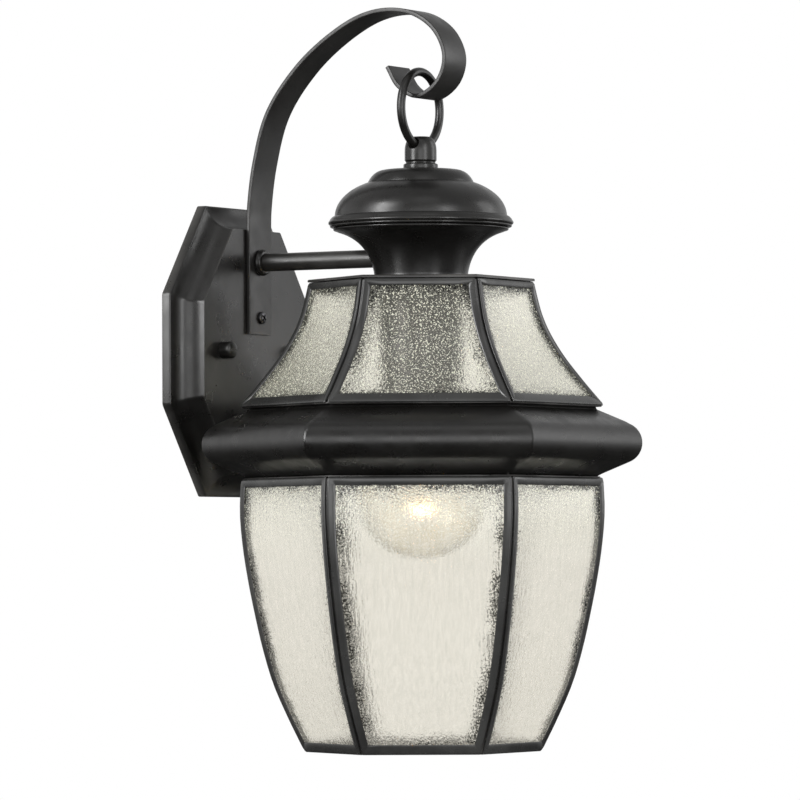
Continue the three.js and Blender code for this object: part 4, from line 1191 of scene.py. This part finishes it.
def camera():
    """Puts the camera in place and makes it the scene's own."""
    to_camera = (Matrix.Rotation(CAMERA_ROLL, 3, "Y") @ Matrix.Rotation(CAMERA_PITCH, 3, "X")
                 @ Matrix.Rotation(CAMERA_TURN, 3, "Z"))
    back = to_camera.transposed()
    origin = Vector((0, AXIS_Y, span("lower_frame_front", 2)[1]))
    place = origin - back @ CAMERA_AIM
    right, forward, up = (back @ Vector(v) for v in ((1, 0, 0), (0, 1, 0), (0, 0, 1)))
    world = Matrix((right, up, -forward)).transposed().to_4x4()
    world.translation = place
    data = bpy.data.cameras.new("camera")
    data.lens = CAMERA_LENS
    data.sensor_width = SENSOR
    data.clip_end = 100
    item = bpy.data.objects.new("camera", data)
    item.matrix_world = world
    bpy.context.scene.collection.objects.link(item)
    bpy.context.scene.camera = item


LIGHT_AIM = Vector((0, AXIS_Y, -20 * MM))
LIGHTS = (                      # name, place, size in metres, power in watts
    ("front", (-1.9, -1.25, 0.1), (1.3, 0.9), 8),
    ("front_right", (-0.75, -1.75, 0.25), (0.45, 1.5), 12),
    ("above", (-0.9, -0.9, 1.9), (0.9, 0.9), 2),
    ("left", (-1.5, 0.6, 0.7), (0.6, 1.4), 30),
    ("right", (1.2, -1.3, 0.5), (0.6, 1.2), 6),
)
FLOOR_Z = -0.9
FLOOR_HALF = 6                  # a wider floor would come into the main picture
SKY = (                         # share of the way up from straight down, level
    (0.0, 0.02), (0.36, 0.03), (0.45, 0.4), (0.53, 0.9), (0.62, 0.8), (0.75, 0.5), (1.0, 0.42),
)


def area_light(name, position, size, power):
    data = bpy.data.lights.new(name, "AREA")
    data.shape = "RECTANGLE"
    data.size, data.size_y = size
    data.energy = power
    item = bpy.data.objects.new(name, data)
    item.location = position
    item.rotation_euler = (LIGHT_AIM - Vector(position)).to_track_quat("-Z", "Y").to_euler()
    bpy.context.scene.collection.objects.link(item)


def floor():
    """A pale floor under the lantern, kept out of its reflections."""
    bm = bmesh.new()
    bmesh.ops.create_grid(bm, x_segments=2, y_segments=2, size=FLOOR_HALF)
    bm.transform(Matrix.Translation((0, AXIS_Y, FLOOR_Z)))
    n = Nodes("pale_floor")
    cloud = n.remap(n.noise(n.place(), 0.002), 0.3, 0.7)
    tone = n.mix(cloud, (0.9, 0.9, 0.89, 1), (0.94, 0.94, 0.93, 1))
    shader = n.add("ShaderNodeBsdfPrincipled", {"Base Color": tone, "Roughness": 0.8})
    mesh = bpy.data.meshes.new("floor")
    bm.to_mesh(mesh)
    bm.free()
    mesh.materials.append(n.surface(shader.outputs[0]))
    item = bpy.data.objects.new("floor", mesh)
    bpy.context.scene.collection.objects.link(item)
    item.visible_glossy = False


def world():
    """White to the eye and through glass; in reflections a bright band between dark and dim."""
    studio = bpy.data.worlds.new("studio")
    bpy.context.scene.world = studio
    studio.use_nodes = True
    g = Graph(studio.node_tree)
    ray = g.add("ShaderNodeLightPath").outputs
    both = {0: ray["Is Camera Ray"], 1: ray["Is Transmission Ray"]}
    seen = g.add("ShaderNodeMath", both, operation="MAXIMUM")
    direction = g.add("ShaderNodeTexCoord").outputs["Generated"]
    up = g.add("ShaderNodeSeparateXYZ", {0: direction}).outputs["Z"]
    height = g.add("ShaderNodeMapRange", {"Value": up, "From Min": -1.0})
    band = g.add("ShaderNodeValToRGB", {0: height.outputs[0]})
    stops = band.color_ramp.elements
    while len(stops) < len(SKY):
        stops.new(0.5)
    for stop, (where, level) in zip(stops, SKY):
        stop.position = where
        stop.color = (level, level, level, 1)
    soft = g.add("ShaderNodeBackground", {"Color": band.outputs[0], "Strength": 1.0}).outputs[0]
    white = g.add("ShaderNodeBackground", {"Color": (1, 1, 1, 1)}).outputs[0]
    mixed = g.add("ShaderNodeMixShader", {0: seen.outputs[0], 1: soft, 2: white})
    g.add("ShaderNodeOutputWorld", {"Surface": mixed.outputs[0]})


camera()
floor()
world()
for light in LIGHTS:
    area_light(*light)
bpy.context.scene.view_settings.view_transform = "Standard"
